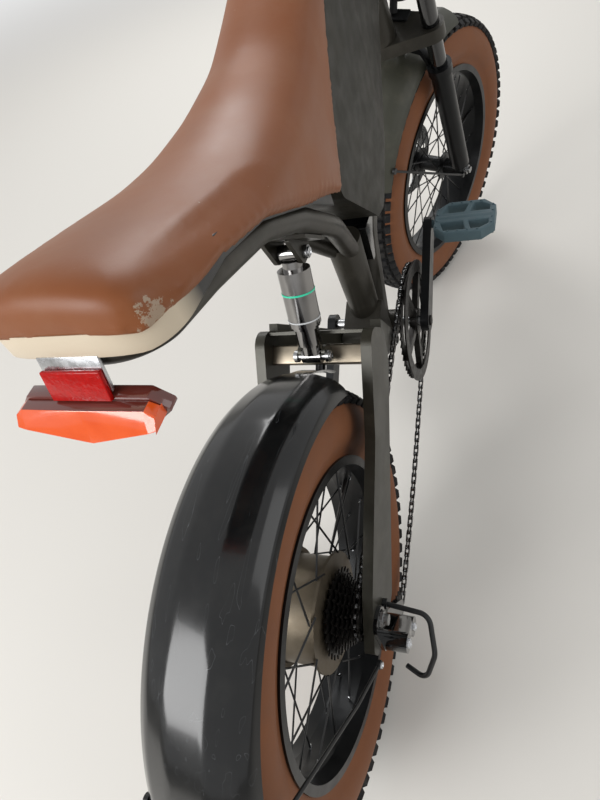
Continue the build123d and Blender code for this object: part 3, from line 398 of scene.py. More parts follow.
def spinRound(bm, geometry, degrees, steps):
    bmesh.ops.spin(bm, geom=geometry, cent=(0, 0, 0), axis=(0, 1, 0), dvec=(0, 0, 0),
                   angle=math.radians(degrees), steps=steps, use_merge=degrees >= 360)


def soften(bm, edges, offset, segments):
    bmesh.ops.bevel(bm, geom=edges, affect="EDGES", offset=offset, segments=segments, profile=0.5,
                    material=-1)


def foldEdges(bm, least):
    return [edge for edge in bm.edges if len(edge.link_faces) == 2 and edge.calc_face_angle(0.0) > least]


def addDrum(bm, segments, radius, depth, place, tip=None):
    return bmesh.ops.create_cone(bm, cap_ends=True, segments=segments, radius1=radius,
                                 radius2=radius if tip is None else tip, depth=depth, matrix=place)["verts"]


def vertsIn(items):
    return [item for item in items if isinstance(item, bmesh.types.BMVert)]


def addSleeve(bm, segments, radius, start, end, height=0.0):
    # a drum across the bike, from one side to another
    middle = Matrix.Translation((0, (start + end) / 2, height))
    addDrum(bm, segments, radius, abs(end - start), middle @ acrossBike)


def moveNew(bm, result, shift):
    # moves what an extrusion has just made
    bmesh.ops.translate(bm, verts=vertsIn(result["geom"]), vec=shift)


def aroundWheel(radius, degrees, side):
    turn = math.radians(degrees)
    return radius * math.cos(turn), side, radius * math.sin(turn)


# tyres: a tan casing, a black tread band and rows of knobs

tyre = {
    "tubeRadius": 250.0,
    "tubeHeight": 46.5,
    "halfWidth": 48.5,
    "roundDegrees": 132.0,  # how far the tube's section reaches from its crown
    "squareness": 0.85,
    "beadHalf": 36.4,
    "beadRadius": 204.0,
    "beadHeight": 9.0,
    "roundSteps": 13,
    "spinSteps": 120,
    "tanBelowRadius": 284.0,
    "knobRows": [
        # side, radius of the foot, length round, width, height, lean, phase
        (9.0, 295.6, 15.0, 12.0, 6.0, 4.0, 0.0),
        (-9.0, 295.6, 15.0, 12.0, 6.0, -4.0, 0.5),
        (24.5, 293.2, 16.0, 12.0, 6.0, 14.0, 0.5),
        (-24.5, 293.2, 16.0, 12.0, 6.0, -14.0, 0.0),
        (39.0, 285.4, 17.0, 13.0, 6.5, 40.0, 0.0),
        (-39.0, 285.4, 17.0, 13.0, 6.5, -40.0, 0.5),
    ],
    "knobsInRow": 70,
    "knobRim": 0.7,
}


def makeTyre(name, node, body, place):
    bm = bmesh.new()
    half = []
    for step in range(tyre["roundSteps"] + 1):
        turn = math.radians(tyre["roundDegrees"]) * step / tyre["roundSteps"]
        half.append((tyre["halfWidth"] * math.sin(turn) ** tyre["squareness"],
                     tyre["tubeRadius"] + tyre["tubeHeight"] * math.cos(turn)))
    bead = tyre["beadRadius"]
    half += [(tyre["beadHalf"], bead + tyre["beadHeight"]), (tyre["beadHalf"], bead)]
    verts, edges = outlineLoop(bm, [(-side, height) for side, height in reversed(half[1:])] + half)
    spinRound(bm, verts + edges, 360, tyre["spinSteps"])
    for face in bm.faces:
        middle = face.calc_center_median()
        tan = math.hypot(middle.x, middle.z) < tyre["tanBelowRadius"] and abs(middle.y) > tyre["beadHalf"] - 1
        face.material_index = 1 if tan else 0
    blocks = []
    for side, radius, length, width, height, lean, phase in tyre["knobRows"]:
        tilt = Matrix.Translation((0, side, radius)) @ Matrix.Rotation(-math.radians(lean), 4, "X")
        size = Matrix.Diagonal((length, width, height, 1)) @ Matrix.Rotation(math.radians(45), 4, "Z")
        for number in range(tyre["knobsInRow"]):
            turn = Matrix.Rotation(2 * math.pi * (number + phase) / tyre["knobsInRow"], 4, "Y")
            blocks += addDrum(bm, 4, 0.78, 1.4, turn @ tilt @ size, 0.62)
    soften(bm, list({edge for vert in blocks for edge in vert.link_edges}), tyre["knobRim"], 1)
    finishPiece(bm, name, body, place, ["mouldedRubberBlack", "mouldedRubberTan"], replaced=node)


makeTyre("rearTyreTread", "rear_tyre", "rear_wheel", rearWheel)
makeTyre("frontTyreTread", "front_tyre", "front_wheel", frontWheel)
print("tyres made")

# fenders: a creased section swung about the axle, and the wires that stay the rear one

fender = {
    "innerRadius": 320.0,
    "wall": 2.5,
    "softReach": 5.0,
    "softSteps": 4,
    "rearSection": [(-62, -26), (-58, -17), (-45, -7), (-20, 0), (20, 0), (45, -7), (58, -17), (62, -26)],
    "frontSection": [(-51, -26), (-47, -17), (-34, -7), (-16, 0), (16, 0), (34, -7), (47, -17), (51, -26)],
    "rearAngles": (52.0, 172.0),  # degrees from straight ahead
    "rearSteps": 72,
    "frontAngles": (84.0, 158.0),
    "frontSteps": 48,
    "frontBoltAngles": (101.5, 104.6, 107.8),
    "strapAngles": (35.0, 53.0),
    "strapSteps": 12,
    "strapHalfWidth": 15.0,
    "strapSink": 0.2,
    "tabSink": 1.0,
    "bridge": (268.0, 516.0),
    "bridgeHalf": 13.4,
    "tabRadius": 7.0,
    "stayAngle": 149.0,
    "stayAnchor": (-46.0, 84.0, 262.0),
    "stayRadius": 2.4,
    "stayOut": 3.2,
    "stayDrop": 22.0,
    "stayBendAt": 0.3,
    "stayBow": 4.0,
    "eyeRadius": 6.0,
    "eyeHalf": 2.5,
}


def softCorners(points, reach, steps):
    # each inner corner becomes a short curve, so a crease catches the light as a soft line
    soft = [points[0]]
    for before, corner, after in zip(points, points[1:], points[2:]):
        here = Vector(corner)
        near, far = [here + arm.normalized() * min(reach, arm.length * 0.45)
                     for arm in (Vector(before) - here, Vector(after) - here)]
        for step in range(steps + 1):
            share = step / steps
            soft.append(tuple(near.lerp(here, share).lerp(here.lerp(far, share), share)))
    return soft + [points[-1]]


def addArch(bm, section, angles, steps):
    # a wall of even thickness, swung from the first angle to the last
    outer = fender["innerRadius"] + fender["wall"]
    half = max(side for side, drop in section)
    top = [(side, outer + drop) for side, drop in section]
    low = [(side * (half - fender["wall"]) / half, height - fender["wall"]) for side, height in reversed(top)]
    verts = outlineLoop(bm, top + low)[0]
    bmesh.ops.rotate(bm, verts=verts, cent=(0, 0, 0),
                     matrix=Matrix.Rotation(-math.radians(angles[1] - 90), 3, "Y"))
    spinRound(bm, [bm.faces.new(verts)], angles[1] - angles[0], steps)


def turnOnto(start, end):
    return Vector(start).rotation_difference(Vector(end)).to_matrix().to_4x4()


def addRod(bm, start, end, radius):
    start, end = Vector(start), Vector(end)
    place = Matrix.Translation((start + end) / 2) @ turnOnto((0, 0, 1), end - start)
    addDrum(bm, 14, radius, (end - start).length, place)


def makeRearFender():
    bm = bmesh.new()
    section = softCorners(fender["rearSection"], fender["softReach"], fender["softSteps"])
    addArch(bm, section, fender["rearAngles"], fender["rearSteps"])
    half, sink = fender["strapHalfWidth"], fender["strapSink"]
    addArch(bm, [(-half, -sink), (half, -sink)], fender["strapAngles"], fender["strapSteps"])
    outer = fender["innerRadius"] + fender["wall"] - fender["tabSink"]
    bridgeX, bridgeZ = fender["bridge"][0], fender["bridge"][1] - bike["axleHeight"] * 1000
    reach = math.hypot(bridgeX, bridgeZ) - fender["bridgeHalf"]
    lean = math.degrees(math.atan2(bridgeZ, bridgeX))
    addRod(bm, aroundWheel(outer, lean, 0), aroundWheel(reach, lean, 0), fender["tabRadius"])
    finishPiece(bm, "rearFenderArch", "frame", rearWheel, ["polishedAbsBlack"], 60,
                "rear_fender")


def makeFrontFender():
    bm = bmesh.new()
    section = softCorners(fender["frontSection"], fender["softReach"], fender["softSteps"])
    addArch(bm, section, fender["frontAngles"], fender["frontSteps"])
    finishPiece(bm, "frontFenderArch", "steering", frontWheel, ["mouldedNylonDusty"], 60,
                "front_fender")


def makeRearStays():
    bm = bmesh.new()
    half = max(side for side, drop in fender["rearSection"]) + fender["stayOut"]
    hold = fender["innerRadius"] + fender["wall"] - fender["stayDrop"]
    edge = Vector(aroundWheel(hold, fender["stayAngle"], half))
    anchor = Vector(fender["stayAnchor"]) - Vector((0, 0, bike["axleHeight"] * 1000))
    bend = anchor + (edge - anchor) * fender["stayBendAt"] + Vector((0, fender["stayBow"], 0))
    eye = Vector((0, fender["eyeHalf"], 0))
    for side in (1, -1):
        flip = Vector((1, side, 1))
        addRod(bm, anchor * flip, bend * flip, fender["stayRadius"])
        addRod(bm, bend * flip, edge * flip, fender["stayRadius"])
        bmesh.ops.create_icosphere(bm, subdivisions=2, radius=fender["stayRadius"],
                                   matrix=Matrix.Translation(bend * flip))
        for middle in (anchor, edge):
            addRod(bm, (middle - eye) * flip, (middle + eye) * flip, fender["eyeRadius"])
    finishPiece(bm, "rearStayWires", "frame", rearWheel, ["blackSteelPaint"],
                replaced="rear_fender_stays")


makeRearFender()
makeFrontFender()
makeRearStays()
print("fenders and stays made")

# tail lamp and reflector: a faceted lens on a dark case, and a block of small prisms above it

tail = {
    "caseRows": [(0, 796, 825.5), (52, 802, 825), (64, 811, 814)],  # side, low, high
    "caseDepth": (-46.0, -57.0),
    "lensRows": [
        # side, low, high, then how far back the lower and the upper edge lie
        (0, 797, 822.5, -76, -67), (52.5, 809, 822.4, -75, -66.5), (60, 811, 818, -74, -68),
    ],
    "lensFront": -57.3,
    "lampEdge": 0.8,
    "shoulderAbove": 815.0,  # the lens is smoked on its upper side, above this height
    "plate": [(-44.3, 854), (-47.3, 854), (-54.6, 828), (-51.6, 828)],  # the bracket's side, along and height
    "plateHalfWidth": 26.0,
    "plateEdge": 0.4,
    "reflectorAlong": (-9.7, 0.0, -34.7),
    "reflectorTop": (-47.3, 0.0, 854.0),
    "reflectorSpan": (9.0, 32.5),
    "reflectorHalfWidth": 25.5,
    "reflectorWall": 4.0,
    "reflectorEdge": 1.2,
    "reflectorGap": 0.3,
}


def joinLoops(bm, loops):
    # a closed skin through equal loops, one after the other
    for first, second in zip(loops, loops[1:]):
        edges = [bm.edges.get(pair) or bm.edges.new(pair) for loop in (first, second)
                 for pair in zip(loop, loop[1:] + loop[:1])]
        bmesh.ops.bridge_loops(bm, edges=edges)
    bm.faces.new(loops[0])
    bm.faces.new(loops[-1])


def mirrored(rows):
    return [(-row[0], *row[1:]) for row in reversed(rows[1:])] + list(rows)


def makeLampCase():
    bm = bmesh.new()
    front, back = tail["caseDepth"]
    joinLoops(bm, [[bm.verts.new((front, side, low)), bm.verts.new((back, side, low)),
                    bm.verts.new((back, side, high)), bm.verts.new((front, side, high))]
                   for side, low, high in mirrored(tail["caseRows"])])
    soften(bm, bm.edges[:], tail["lampEdge"], 2)
    finishPiece(bm, "lampCase", "frame", upright, ["smokedAcrylic"], 25, "tail_lamp_case")


def makeLampLens():
    bm = bmesh.new()
    front = tail["lensFront"]
    loops = []
    for side, low, high, backLow, backHigh in mirrored(tail["lensRows"]):
        section = [(front, low), (backLow, low), (backHigh, high), (front, high)]
        loops.append([bm.verts.new((x, side, z)) for x, z in section])
    joinLoops(bm, loops)
    for face in bm.faces:
        face.normal_update()
        upper = face.calc_center_median().z > tail["shoulderAbove"]
        face.material_index = int(abs(face.normal.z) > 0.9 and upper)
    soften(bm, bm.edges[:], tail["lampEdge"], 2)
    finishPiece(bm, "lampLens", "frame", upright, ["acrylicOrangeRed", "smokedAcrylic"], 20,
                "tail_lamp_lens")


def makeReflector():
    along = Vector(tail["reflectorAlong"]).normalized()
    out = Vector((along.z, 0, -along.x))
    low, high = tail["reflectorSpan"]
    wall = tail["reflectorWall"]
    middle = Vector(tail["reflectorTop"]) + along * (low + high) / 2 + out * (tail["reflectorGap"] + wall / 2)
    turned = Matrix((along, (0, 1, 0), out)).transposed().to_4x4()
    size = Matrix.Diagonal((high - low, 2 * tail["reflectorHalfWidth"], wall, 1))
    bm = bmesh.new()
    bmesh.ops.create_cube(bm, size=1, matrix=Matrix.Translation(middle) @ turned @ size)
    soften(bm, bm.edges[:], tail["reflectorEdge"], 3)
    finishPiece(bm, "reflectorBlock", "frame", upright, ["prismaticAcrylicRed"], 40,
                "rear_reflector")


def makeTailPlate():
    bm = bmesh.new()
    half = tail["plateHalfWidth"]
    face = bm.faces.new([bm.verts.new((x, -half, z)) for x, z in tail["plate"]])
    moveNew(bm, bmesh.ops.extrude_face_region(bm, geom=[face]), (0, 2 * half, 0))
    soften(bm, bm.edges[:], tail["plateEdge"], 2)
    finishPiece(bm, "tailPlate", "frame", upright, ["zincPlate"], 30, "tail_bracket")


makeLampCase()
makeLampLens()
makeReflector()
makeTailPlate()
print("tail lamp and reflector made")

# seat: a padded vinyl cover over the moulded pan

seat = {
    "voxel": 0.005,
    "weld": 0.00002,
    "underneath": 0.35,  # how far a vertex has to face down to be left unsmoothed
    "rounds": 46,
    "skirt": 14.0,  # how far the flanks come down over the pan, in millimetres
    "skirtShares": [(-30, 0.0), (15, 0.6), (70, 1.0), (250, 1.0), (345, 0.3)],
    "skirtReach": 34.0,
    "flankFrom": 54.0,  # the flanks begin this far from the middle
    "flankOver": 10.0,
    "fill": 0.85,
    # the columns of finishes: a smooth half gloss skin with a fine leather print
    "cover": ("#733f1f", "#824b26", 70, 1.6, 0.12, 0.38, 0.5, 0.0,
              {"specular": 0.32, "dust": (0.07, "#a0866c")}),
    "wornAt": (-0.030, -0.077, 0.866),  # the scuffed corner on the upright bike
    "wornReach": 0.026,
    "wornFlake": 9.0,
    "wornShade": "#9c8874",
    "sheen": (0.1, 0.45, "#cfa98a"),  # weight, roughness, tint
}


def vinylBrown():
    # coated vinyl, rubbed through at one corner
    material = makeFinish("coatedVinylBrown", seat["cover"])
    tree = material.node_tree
    coords = addNode(tree, "TexCoord").outputs["Object"]
    corner = tuple(upright @ Vector(seat["wornAt"]))
    reach = addNode(tree, "VectorMath", {1: corner}, {0: coords}, operation="DISTANCE")
    near = addNode(tree, "MapRange",
                   {"From Max": seat["wornReach"], "To Min": 0.32, "To Max": -0.08},
                   {"Value": reach.outputs["Value"]})
    flakes = addNode(tree, "TexNoise",
                     {"Scale": 1000 / seat["wornFlake"], "Detail": 6.0, "Roughness": 0.75},
                     {"Vector": coords})
    both = addNode(tree, "Math", {}, {0: flakes.outputs["Fac"], 1: near.outputs["Result"]}, operation="ADD")
    bare = addNode(tree, "MapRange", {"From Min": 0.62, "From Max": 0.65}, {"Value": both.outputs[0]})
    paintOver(material, bare.outputs["Result"], seat["wornShade"])
    weight, roughness, tint = seat["sheen"]
    setNode(tree.nodes["Principled BSDF"],
            {"Sheen Weight": weight, "Sheen Roughness": roughness, "Sheen Tint": toLinear(tint)}, {})
    return material


def rowValue(rows, along):
    # the value at a place along the bike, from rows that run forward
    for (x1, z1), (x2, z2) in zip(rows, rows[1:]):
        if along <= x2:
            return z1 + (z2 - z1) * max(0.0, along - x1) / (x2 - x1)
    return rows[-1][1]


def lowerSkirt(bm):
    # the flanks' lower edges are drawn down over the pan
    place = upright @ millimetres
    back = place.inverted()
    edge = sorted([(x, z) for x, y, z in pan["sides"]] + pan["tailTop"])
    for vert in bm.verts:
        spot = back @ vert.co
        near = min(max(1 - (spot.z - rowValue(edge, spot.x)) / seat["skirtReach"], 0.0), 1.0)
        outside = min(max((abs(spot.y) - seat["flankFrom"]) / seat["flankOver"], 0.0), 1.0)
        spot.z -= seat["skirt"] * near * outside * rowValue(seat["skirtShares"], spot.x)
        vert.co = place @ spot


def makeSeat():
    # the plain seat is rebuilt as an even net, which is then smoothed everywhere but underneath
    materials["coatedVinylBrown"] = vinylBrown()
    mesh = nodes["seat"].data.copy()
    cover = addObject("seatCover", mesh)
    bm = bmesh.new()
    bm.from_mesh(mesh)
    bmesh.ops.remove_doubles(bm, verts=bm.verts[:], dist=seat["weld"])
    bm.to_mesh(mesh)
    bm.free()
    remesh = cover.modifiers.new("voxels", "REMESH")
    remesh.mode = "VOXEL"
    remesh.voxel_size = seat["voxel"]
    shaped = bpy.data.meshes.new_from_object(cover.evaluated_get(bpy.context.evaluated_depsgraph_get()))
    cover.modifiers.clear()
    cover.data = shaped
    bm = bmesh.new()
    bm.from_mesh(shaped)
    down = -(upright.to_3x3() @ Vector((0, 0, 1)))
    bm.normal_update()
    skin = [vert for vert in bm.verts if vert.normal.dot(down) < seat["underneath"]]
    for _ in range(seat["rounds"]):
        bmesh.ops.smooth_vert(bm, verts=skin, factor=0.5, use_axis_x=True, use_axis_y=True, use_axis_z=True)
    lowerSkirt(bm)
    for face in bm.faces:
        face.smooth = True
    bm.to_mesh(shaped)
    bm.free()
    shaped.materials.clear()
    shaped.materials.append(materials["coatedVinylBrown"])
    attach(cover, "frame")
    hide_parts("seat")


pan = {
    "depth": 21.0,
    "tuck": 5.0,  # how far the rim reaches up inside the cover
    "wall": 2.4,
    "edge": 0.9,
    "halfWidth": 76.0,
    "tail": -47.0,
    "cornerSteps": 14,
    "sides": [
        # along, half width, top
        (330, 56, 716), (273, 59, 757), (200, 63, 797.5), (142, 68, 829.5), (60, 74, 856.5),
    ],
    "tailTop": [(-47.0, 868.0), (-38.0, 863.5), (0.0, 861.5)],  # along, top
    # the columns of finishes: moulded ABS, half gloss, painted black as shade for the sides
    "paintedShadeSideFinish": ("#141415", "#141415", 40, 1.0, 0.1, 0.3, 0.45, 0.0, {}),
    "rearPaintedHighlight": "#c6b8a2",
    "paintedHighlightEnds": (0.035, 0.065),  # metres from the seat's end over which the painted highlight gives way to the sides' painted shade
}


def panPaintedLightFinish():
    # the pan's one grey moulding is painted with light: a pale cream painted highlight round the tail, which
    # faces the light, and black painted shade along the sides
    material = makeFinish("panPaintedHighlightAndShade", pan["paintedShadeSideFinish"])
    tree = material.node_tree
    coords = addNode(tree, "TexCoord").outputs["Object"]
    along = addNode(tree, "SeparateXYZ", {}, {0: coords})
    near, far = [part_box("seat")[0][0] + reach for reach in pan["paintedHighlightEnds"]]
    blend = addNode(tree, "MapRange",
                    {"From Min": near, "From Max": far, "To Min": 1.0, "To Max": 0.0},
                    {"Value": along.outputs["X"]})
    # painted highlight: pale cream over the tail end, fading into the painted shade of the sides
    paintOver(material, blend.outputs["Result"], pan["rearPaintedHighlight"])
    return material


def makePan():
    # the pan's rim: a wall that follows the cover's lower edge round the tail, closed above by a floor
    half = list(pan["sides"])
    for step in range(pan["cornerSteps"] + 1):
        turn = math.radians(90) * step / pan["cornerSteps"]
        along = pan["tail"] * math.sin(turn)
        side = pan["halfWidth"] * max(math.cos(turn), 0.0) ** 0.5
        half.append((along, side, rowValue(pan["tailTop"], along)))
    half = [(x, y, z + pan["tuck"]) for x, y, z in half]
    path = half + [(x, -y, z) for x, y, z in reversed(half[:-1])]
    bm = bmesh.new()
    top = [bm.verts.new(point) for point in path]
    edges = [bm.edges.new(pair) for pair in zip(top, top[1:])]
    moveNew(bm, bmesh.ops.extrude_edge_only(bm, edges=edges), (0, 0, -pan["depth"]))
    bmesh.ops.recalc_face_normals(bm, faces=bm.faces[:])
    for number in range(len(half) - 2):
        bm.faces.new((top[number], top[number + 1], top[-number - 2], top[-number - 1]))
    bm.faces.new((top[len(half) - 2], top[len(half) - 1], top[len(half)]))
    bmesh.ops.recalc_face_normals(bm, faces=bm.faces[:])
    bmesh.ops.solidify(bm, geom=bm.faces[:], thickness=pan["wall"])
    soften(bm, foldEdges(bm, 1.2), pan["edge"], 2)
    materials["panPaintedHighlightAndShade"] = panPaintedLightFinish()
    finishPiece(bm, "seatPanRim", "frame", upright, ["panPaintedHighlightAndShade"], 50)


makeSeat()
makePan()
print("seat made")

# small parts: templates one unit large, copied to a table of places

shapes = {}


def keepShape(name, shape):
    bm = bmesh.new()
    shape(bm)
    bmesh.ops.recalc_face_normals(bm, faces=bm.faces[:])
    shapes[name] = bpy.data.meshes.new(name)
    bm.to_mesh(shapes[name])
    bm.free()


def addShape(bm, shape, matrix):
    start = len(bm.verts)
    bm.from_mesh(shapes[shape])
    bm.verts.ensure_lookup_table()
    bmesh.ops.transform(bm, matrix=matrix, verts=bm.verts[start:])


def socketHead(bm):
    # a round head one unit in radius and in height, with a rolled edge and a hollow in its top
    addDrum(bm, 24, 1, 1, Matrix.Translation((0, 0, 0.5)))
    soften(bm, [edge for edge in bm.edges if all(vert.co.z > 0.9 for vert in edge.verts)], 0.16, 3)
    cap = max(bm.faces, key=lambda face: face.calc_center_median().z + len(face.verts))
    bmesh.ops.inset_individual(bm, faces=[cap], thickness=0.3)
    bmesh.ops.translate(bm, verts=cap.verts[:], vec=(0, 0, -0.55))


def nipple(bm):
    # a spoke nipple: a square shank on a wider round head
    addDrum(bm, 4, 0.8, 3, Matrix.Translation((0, 0, 2.2)), 0.7)
    addDrum(bm, 12, 1.3, 1.2, Matrix.Translation((0, 0, 0.4)), 0.9)


keepShape("socketHead", socketHead)
keepShape("nipple", nipple)


wheelParts = {
    "discCircle": 22.0,
    "discAngles": range(30, 360, 60),
    "nippleCircle": 196.0,
    "nippleAngles": range(0, 360, 10),
    "nippleSides": (12.0, -12.0),
    "valveCircle": 206.0,
    "valveAngle": 5.0,
    "fenderCircle": 322.3,
}


def discBolts(side):
    return [(aroundWheel(wheelParts["discCircle"], angle, side), (0, 1, 0), 4.4, 2.4)
            for angle in wheelParts["discAngles"]]


def rimNipples():
    # every second spoke leads to the hub's other side
    return [(aroundWheel(wheelParts["nippleCircle"], angle, wheelParts["nippleSides"][number % 2]),
             aroundWheel(-1, angle, 0), 2.2, 2.4) for number, angle in enumerate(wheelParts["nippleAngles"])]


def valve():
    angle = wheelParts["valveAngle"]
    return [(aroundWheel(wheelParts["valveCircle"], angle, 0), aroundWheel(-1, angle, 0), 2.8, 34)]


def bothSides(along, side, height, radius, rise):
    return [((along, sign * side, height), (0, sign, 0), radius, rise) for sign in (-1, 1)]


fasteners = [
    # piece, body, place, finish, shape, rows of middle, axis, radius, height
    ("frameBolts", "frame", upright, "zincPlate", "socketHead", [
        *bothSides(247, 24, 536, 5.5, 2.2),
        *bothSides(291, 24, 669, 5.5, 2.2),
        *bothSides(425, 52, 382, 8, 3),
        ((-10, -115.3, 252), (0, -1, 0), 7, 3.2),
        ((28, -109.3, 206), (0, -1, 0), 6, 3),
        ((18, -66.7, 226), (0, -1, 0), 4.2, 2.4),
        ((84, -66.7, 118), (0, -1, 0), 4.2, 2.4),
        *bothSides(-46, 86.5, 262, 4.4, 2.6),
    ]),
    ("crankBolts", "crank", upright, "phosphatedSteel", "socketHead", bothSides(507, 91, 342, 9, 2.6)),
    ("rearValve", "rear_wheel", rearWheel, "phosphatedSteel", "nipple", valve()),
    ("frontValve", "front_wheel", frontWheel, "phosphatedSteel", "nipple", valve()),
    ("frontFenderBolts", "steering", frontWheel, "zincPlate", "socketHead", [
        (aroundWheel(wheelParts["fenderCircle"], angle, 0), aroundWheel(1, angle, 0), 5, 3.2)
        for angle in fender["frontBoltAngles"]
    ]),
    ("rearDiscBolts", "rear_wheel", rearWheel, "zincPlate", "socketHead", discBolts(58)),
    ("frontDiscBolts", "front_wheel", frontWheel, "zincPlate", "socketHead", discBolts(50)),
    ("rearNipples", "rear_wheel", rearWheel, "zincPlate", "nipple", rimNipples()),
    ("frontNipples", "front_wheel", frontWheel, "zincPlate", "nipple", rimNipples()),
]


def makeFasteners():
    for name, body, place, finishName, shape, rows in fasteners:
        bm = bmesh.new()
        for middle, axis, radius, height in rows:
            size = Matrix.Diagonal((radius, radius, height, 1))
            addShape(bm, shape, Matrix.Translation(middle) @ turnOnto((0, 0, 1), axis) @ size)
        finishPiece(bm, name, body, place, [finishName])


makeFasteners()
print("bolts and nipples made")

# shock: painted rings round the can

shockRings = {
    "low": (247.0, 0.0, 536.0),
    "high": (291.0, 0.0, 669.0),
    "skin": (0.05, 0.6),  # how far a ring's inner and outer face lie off the can
    "rows": [
        # piece, along from the lower eye, can radius, thickness, finish
        ("shockTealRing", 92.0, 20.5, 1.1, "paintTeal"),
        ("shockPaleRing", 56.0, 20.5, 0.9, "paintPaleGrey"),
    ],
}


def makeShockRings():
    low = Vector(shockRings["low"])
    along = (Vector(shockRings["high"]) - low).normalized()
    for name, distance, radius, thick, finishName in shockRings["rows"]:
        bm = bmesh.new()
        inner, outer = [radius + lift for lift in shockRings["skin"]]
        verts, edges = outlineLoop(bm, [(-thick, inner), (-thick, outer), (thick, outer), (thick, inner)])
        spinRound(bm, verts + edges, 360, 64)
        middle = Matrix.Translation((low + along * distance) * 0.001)
        place = upright @ middle @ turnOnto((0, 1, 0), along)
        finishPiece(bm, name, "frame", place, [finishName])


makeShockRings()

# the bar between the swing arm's plates, seen above the rear fender: gunmetal, drawn as a skin of pale metal
# that is a painted highlight

crossBar = {
    "middle": (268.0, 0.0, 516.0),
    "lean": 38.0,
    "size": (27.0, 133.6, 17.0),
    "corner": 3.0,
}


def makeCrossBar():
    bm = bmesh.new()
    turn = Matrix.Rotation(-math.radians(crossBar["lean"]), 4, "Y")
    place = Matrix.Translation(crossBar["middle"]) @ turn @ Matrix.Diagonal((*crossBar["size"], 1))
    bmesh.ops.create_cube(bm, size=1, matrix=place)
    long = [edge for edge in bm.edges if abs((edge.verts[0].co - edge.verts[1].co).y) > 1]
    soften(bm, long, crossBar["corner"], 4)
    # pale metal skin: a painted highlight over the bar's gunmetal
    finishPiece(bm, "crossBarSkin", "frame", upright, ["crossBarPaintedHighlight"])


makeCrossBar()

# headlight lens: fluted polycarbonate, drawn as one pale glossy surface that isn't seen through

headlightLens = {
    "flute": 6.0,
    "fluteDepth": 0.001,
    "tones": ("#c9d0d6", "#e6ebef"),
}


def clearPolycarbonate():
    material, tree, shader = newMaterial("clearPolycarbonate")
    dark, pale = headlightLens["tones"]
    coords = addNode(tree, "TexCoord").outputs["Object"]
    flutes = addNode(tree, "TexWave", {"Scale": 1000 / headlightLens["flute"] / 6.28},
                     {"Vector": coords}, bands_direction="Y").outputs["Fac"]
    bump = addNode(tree, "Bump", {"Strength": 0.4, "Distance": headlightLens["fluteDepth"]},
                   {"Height": flutes})
    tint = addNode(tree, "Mix", {6: toLinear(dark), 7: toLinear(pale)}, {0: flutes}, data_type="RGBA")
    setNode(shader, {"Roughness": 0.08, "Coat Weight": 0.8},
            {"Base Color": tint.outputs[2], "Normal": bump.outputs["Normal"]})
    return material


dress("headlight_lens", clearPolycarbonate())
print("shock rings, cross bar and headlight lens made")

# drive: the chain's loop over ring, cog and pulleys, its links, and the toothed wheels

drive = {
    "pitch": 12.7,
    "side": -61.0,
    "ringTeeth": 48,
    "ringWall": 2.4,
    "ringBand": 12.0,  # how far the toothed band reaches in from the pitch circle
    "cogs": [28, 24, 22, 20, 18, 16, 14],
    "cogFirstSide": -31.0,
    "cogStep": 5.0,
    "cogWall": 2.0,
    "cogBore": 17.0,
    "cogPhase": 0.2,
    "lastCogCut": 1.2,  # the smallest cog is cut down and nearly plain, so it stays clear of the rollers
    "lastCogRise": -0.8,
    "sleeves": [(-25, -63.5, 18.5), (-63, -65.5, 15.5)],  # from side, to side, radius
    "pulleyTeeth": 11,
    "pulleyWall": 2.2,
    "pulleyBore": 4.0,
    "ringCentre": (507.0, 342.0),
    "cogCentre": (0.0, 302.0),
    "guidePulley": (18.0, 226.0),
    "tensionPulley": (84.0, 118.0),
    "sagRadius": 1500.0,
    "sag": 16.0,
    "loopStep": 1.5,
    "plateRadius": 4.1,
    "plateWall": 1.0,
    "plateSides": (2.0, 3.1),  # inner and outer plates, from the chain's middle
    "rollerRadius": 3.9,
    "rollerWidth": 2.8,
    "pinRadius": 1.8,
    "pinWidth": 7.4,
    "toothRise": 6.7,  # from the root between two teeth to a tooth's tip
}


def pitchRadius(teeth):
    return drive["pitch"] / 2 / math.sin(math.pi / teeth)


def onCircle(centre, radius, turn, side=0.0):
    return Vector((centre[0] + radius * math.cos(turn), side, centre[1] + radius * math.sin(turn)))


def touching(first, second):
    # where the chain leaves one wheel and meets the next: a wheel is centre, radius and way round
    (x1, z1), r1 = first[0], first[1] * first[2]
    (x2, z2), r2 = second[0], second[1] * second[2]
    heading = math.atan2(z2 - z1, x2 - x1) - math.asin((r2 - r1) / math.hypot(x2 - x1, z2 - z1))
    sideX, sideZ = -math.sin(heading), math.cos(heading)
    return (x1 - sideX * r1, z1 - sideZ * r1), (x2 - sideX * r2, z2 - sideZ * r2)


def chainLoop():
    # a fine line along the chain: arcs about the wheels, and one about a far centre for the sagging run
    ringX, ringZ = drive["ringCentre"]
    tensionX, tensionZ = drive["tensionPulley"]
    ring, pulley = pitchRadius(drive["ringTeeth"]), pitchRadius(drive["pulleyTeeth"])
    slope = math.atan2(ringZ - ring - tensionZ + pulley, ringX - tensionX)
    lift = drive["sagRadius"] - drive["sag"]
    sagCentre = ((tensionX + ringX) / 2 - math.sin(slope) * lift,
                 (tensionZ - pulley + ringZ - ring) / 2 + math.cos(slope) * lift)
    wheels = [(drive["ringCentre"], ring, 1), (drive["cogCentre"], pitchRadius(drive["cogs"][-1]), 1),
              (drive["guidePulley"], pulley, -1), (drive["tensionPulley"], pulley, 1),
              (sagCentre, drive["sagRadius"], 1)]
    runs = [touching(*pair) for pair in zip(wheels, wheels[1:] + wheels[:1])]
    fine = []
    for number, (centre, radius, way) in enumerate(wheels):
        start, end = [math.atan2(spot[1] - centre[1], spot[0] - centre[0])
                      for spot in (runs[number - 1][1], runs[number][0])]
        turn = (end - start) * way % (2 * math.pi) * way
        steps = max(4, int(abs(turn) * radius / drive["loopStep"]))
        fine += [onCircle(centre, radius, start + turn * step / steps) for step in range(steps + 1)]
    return fine + [fine[0]]


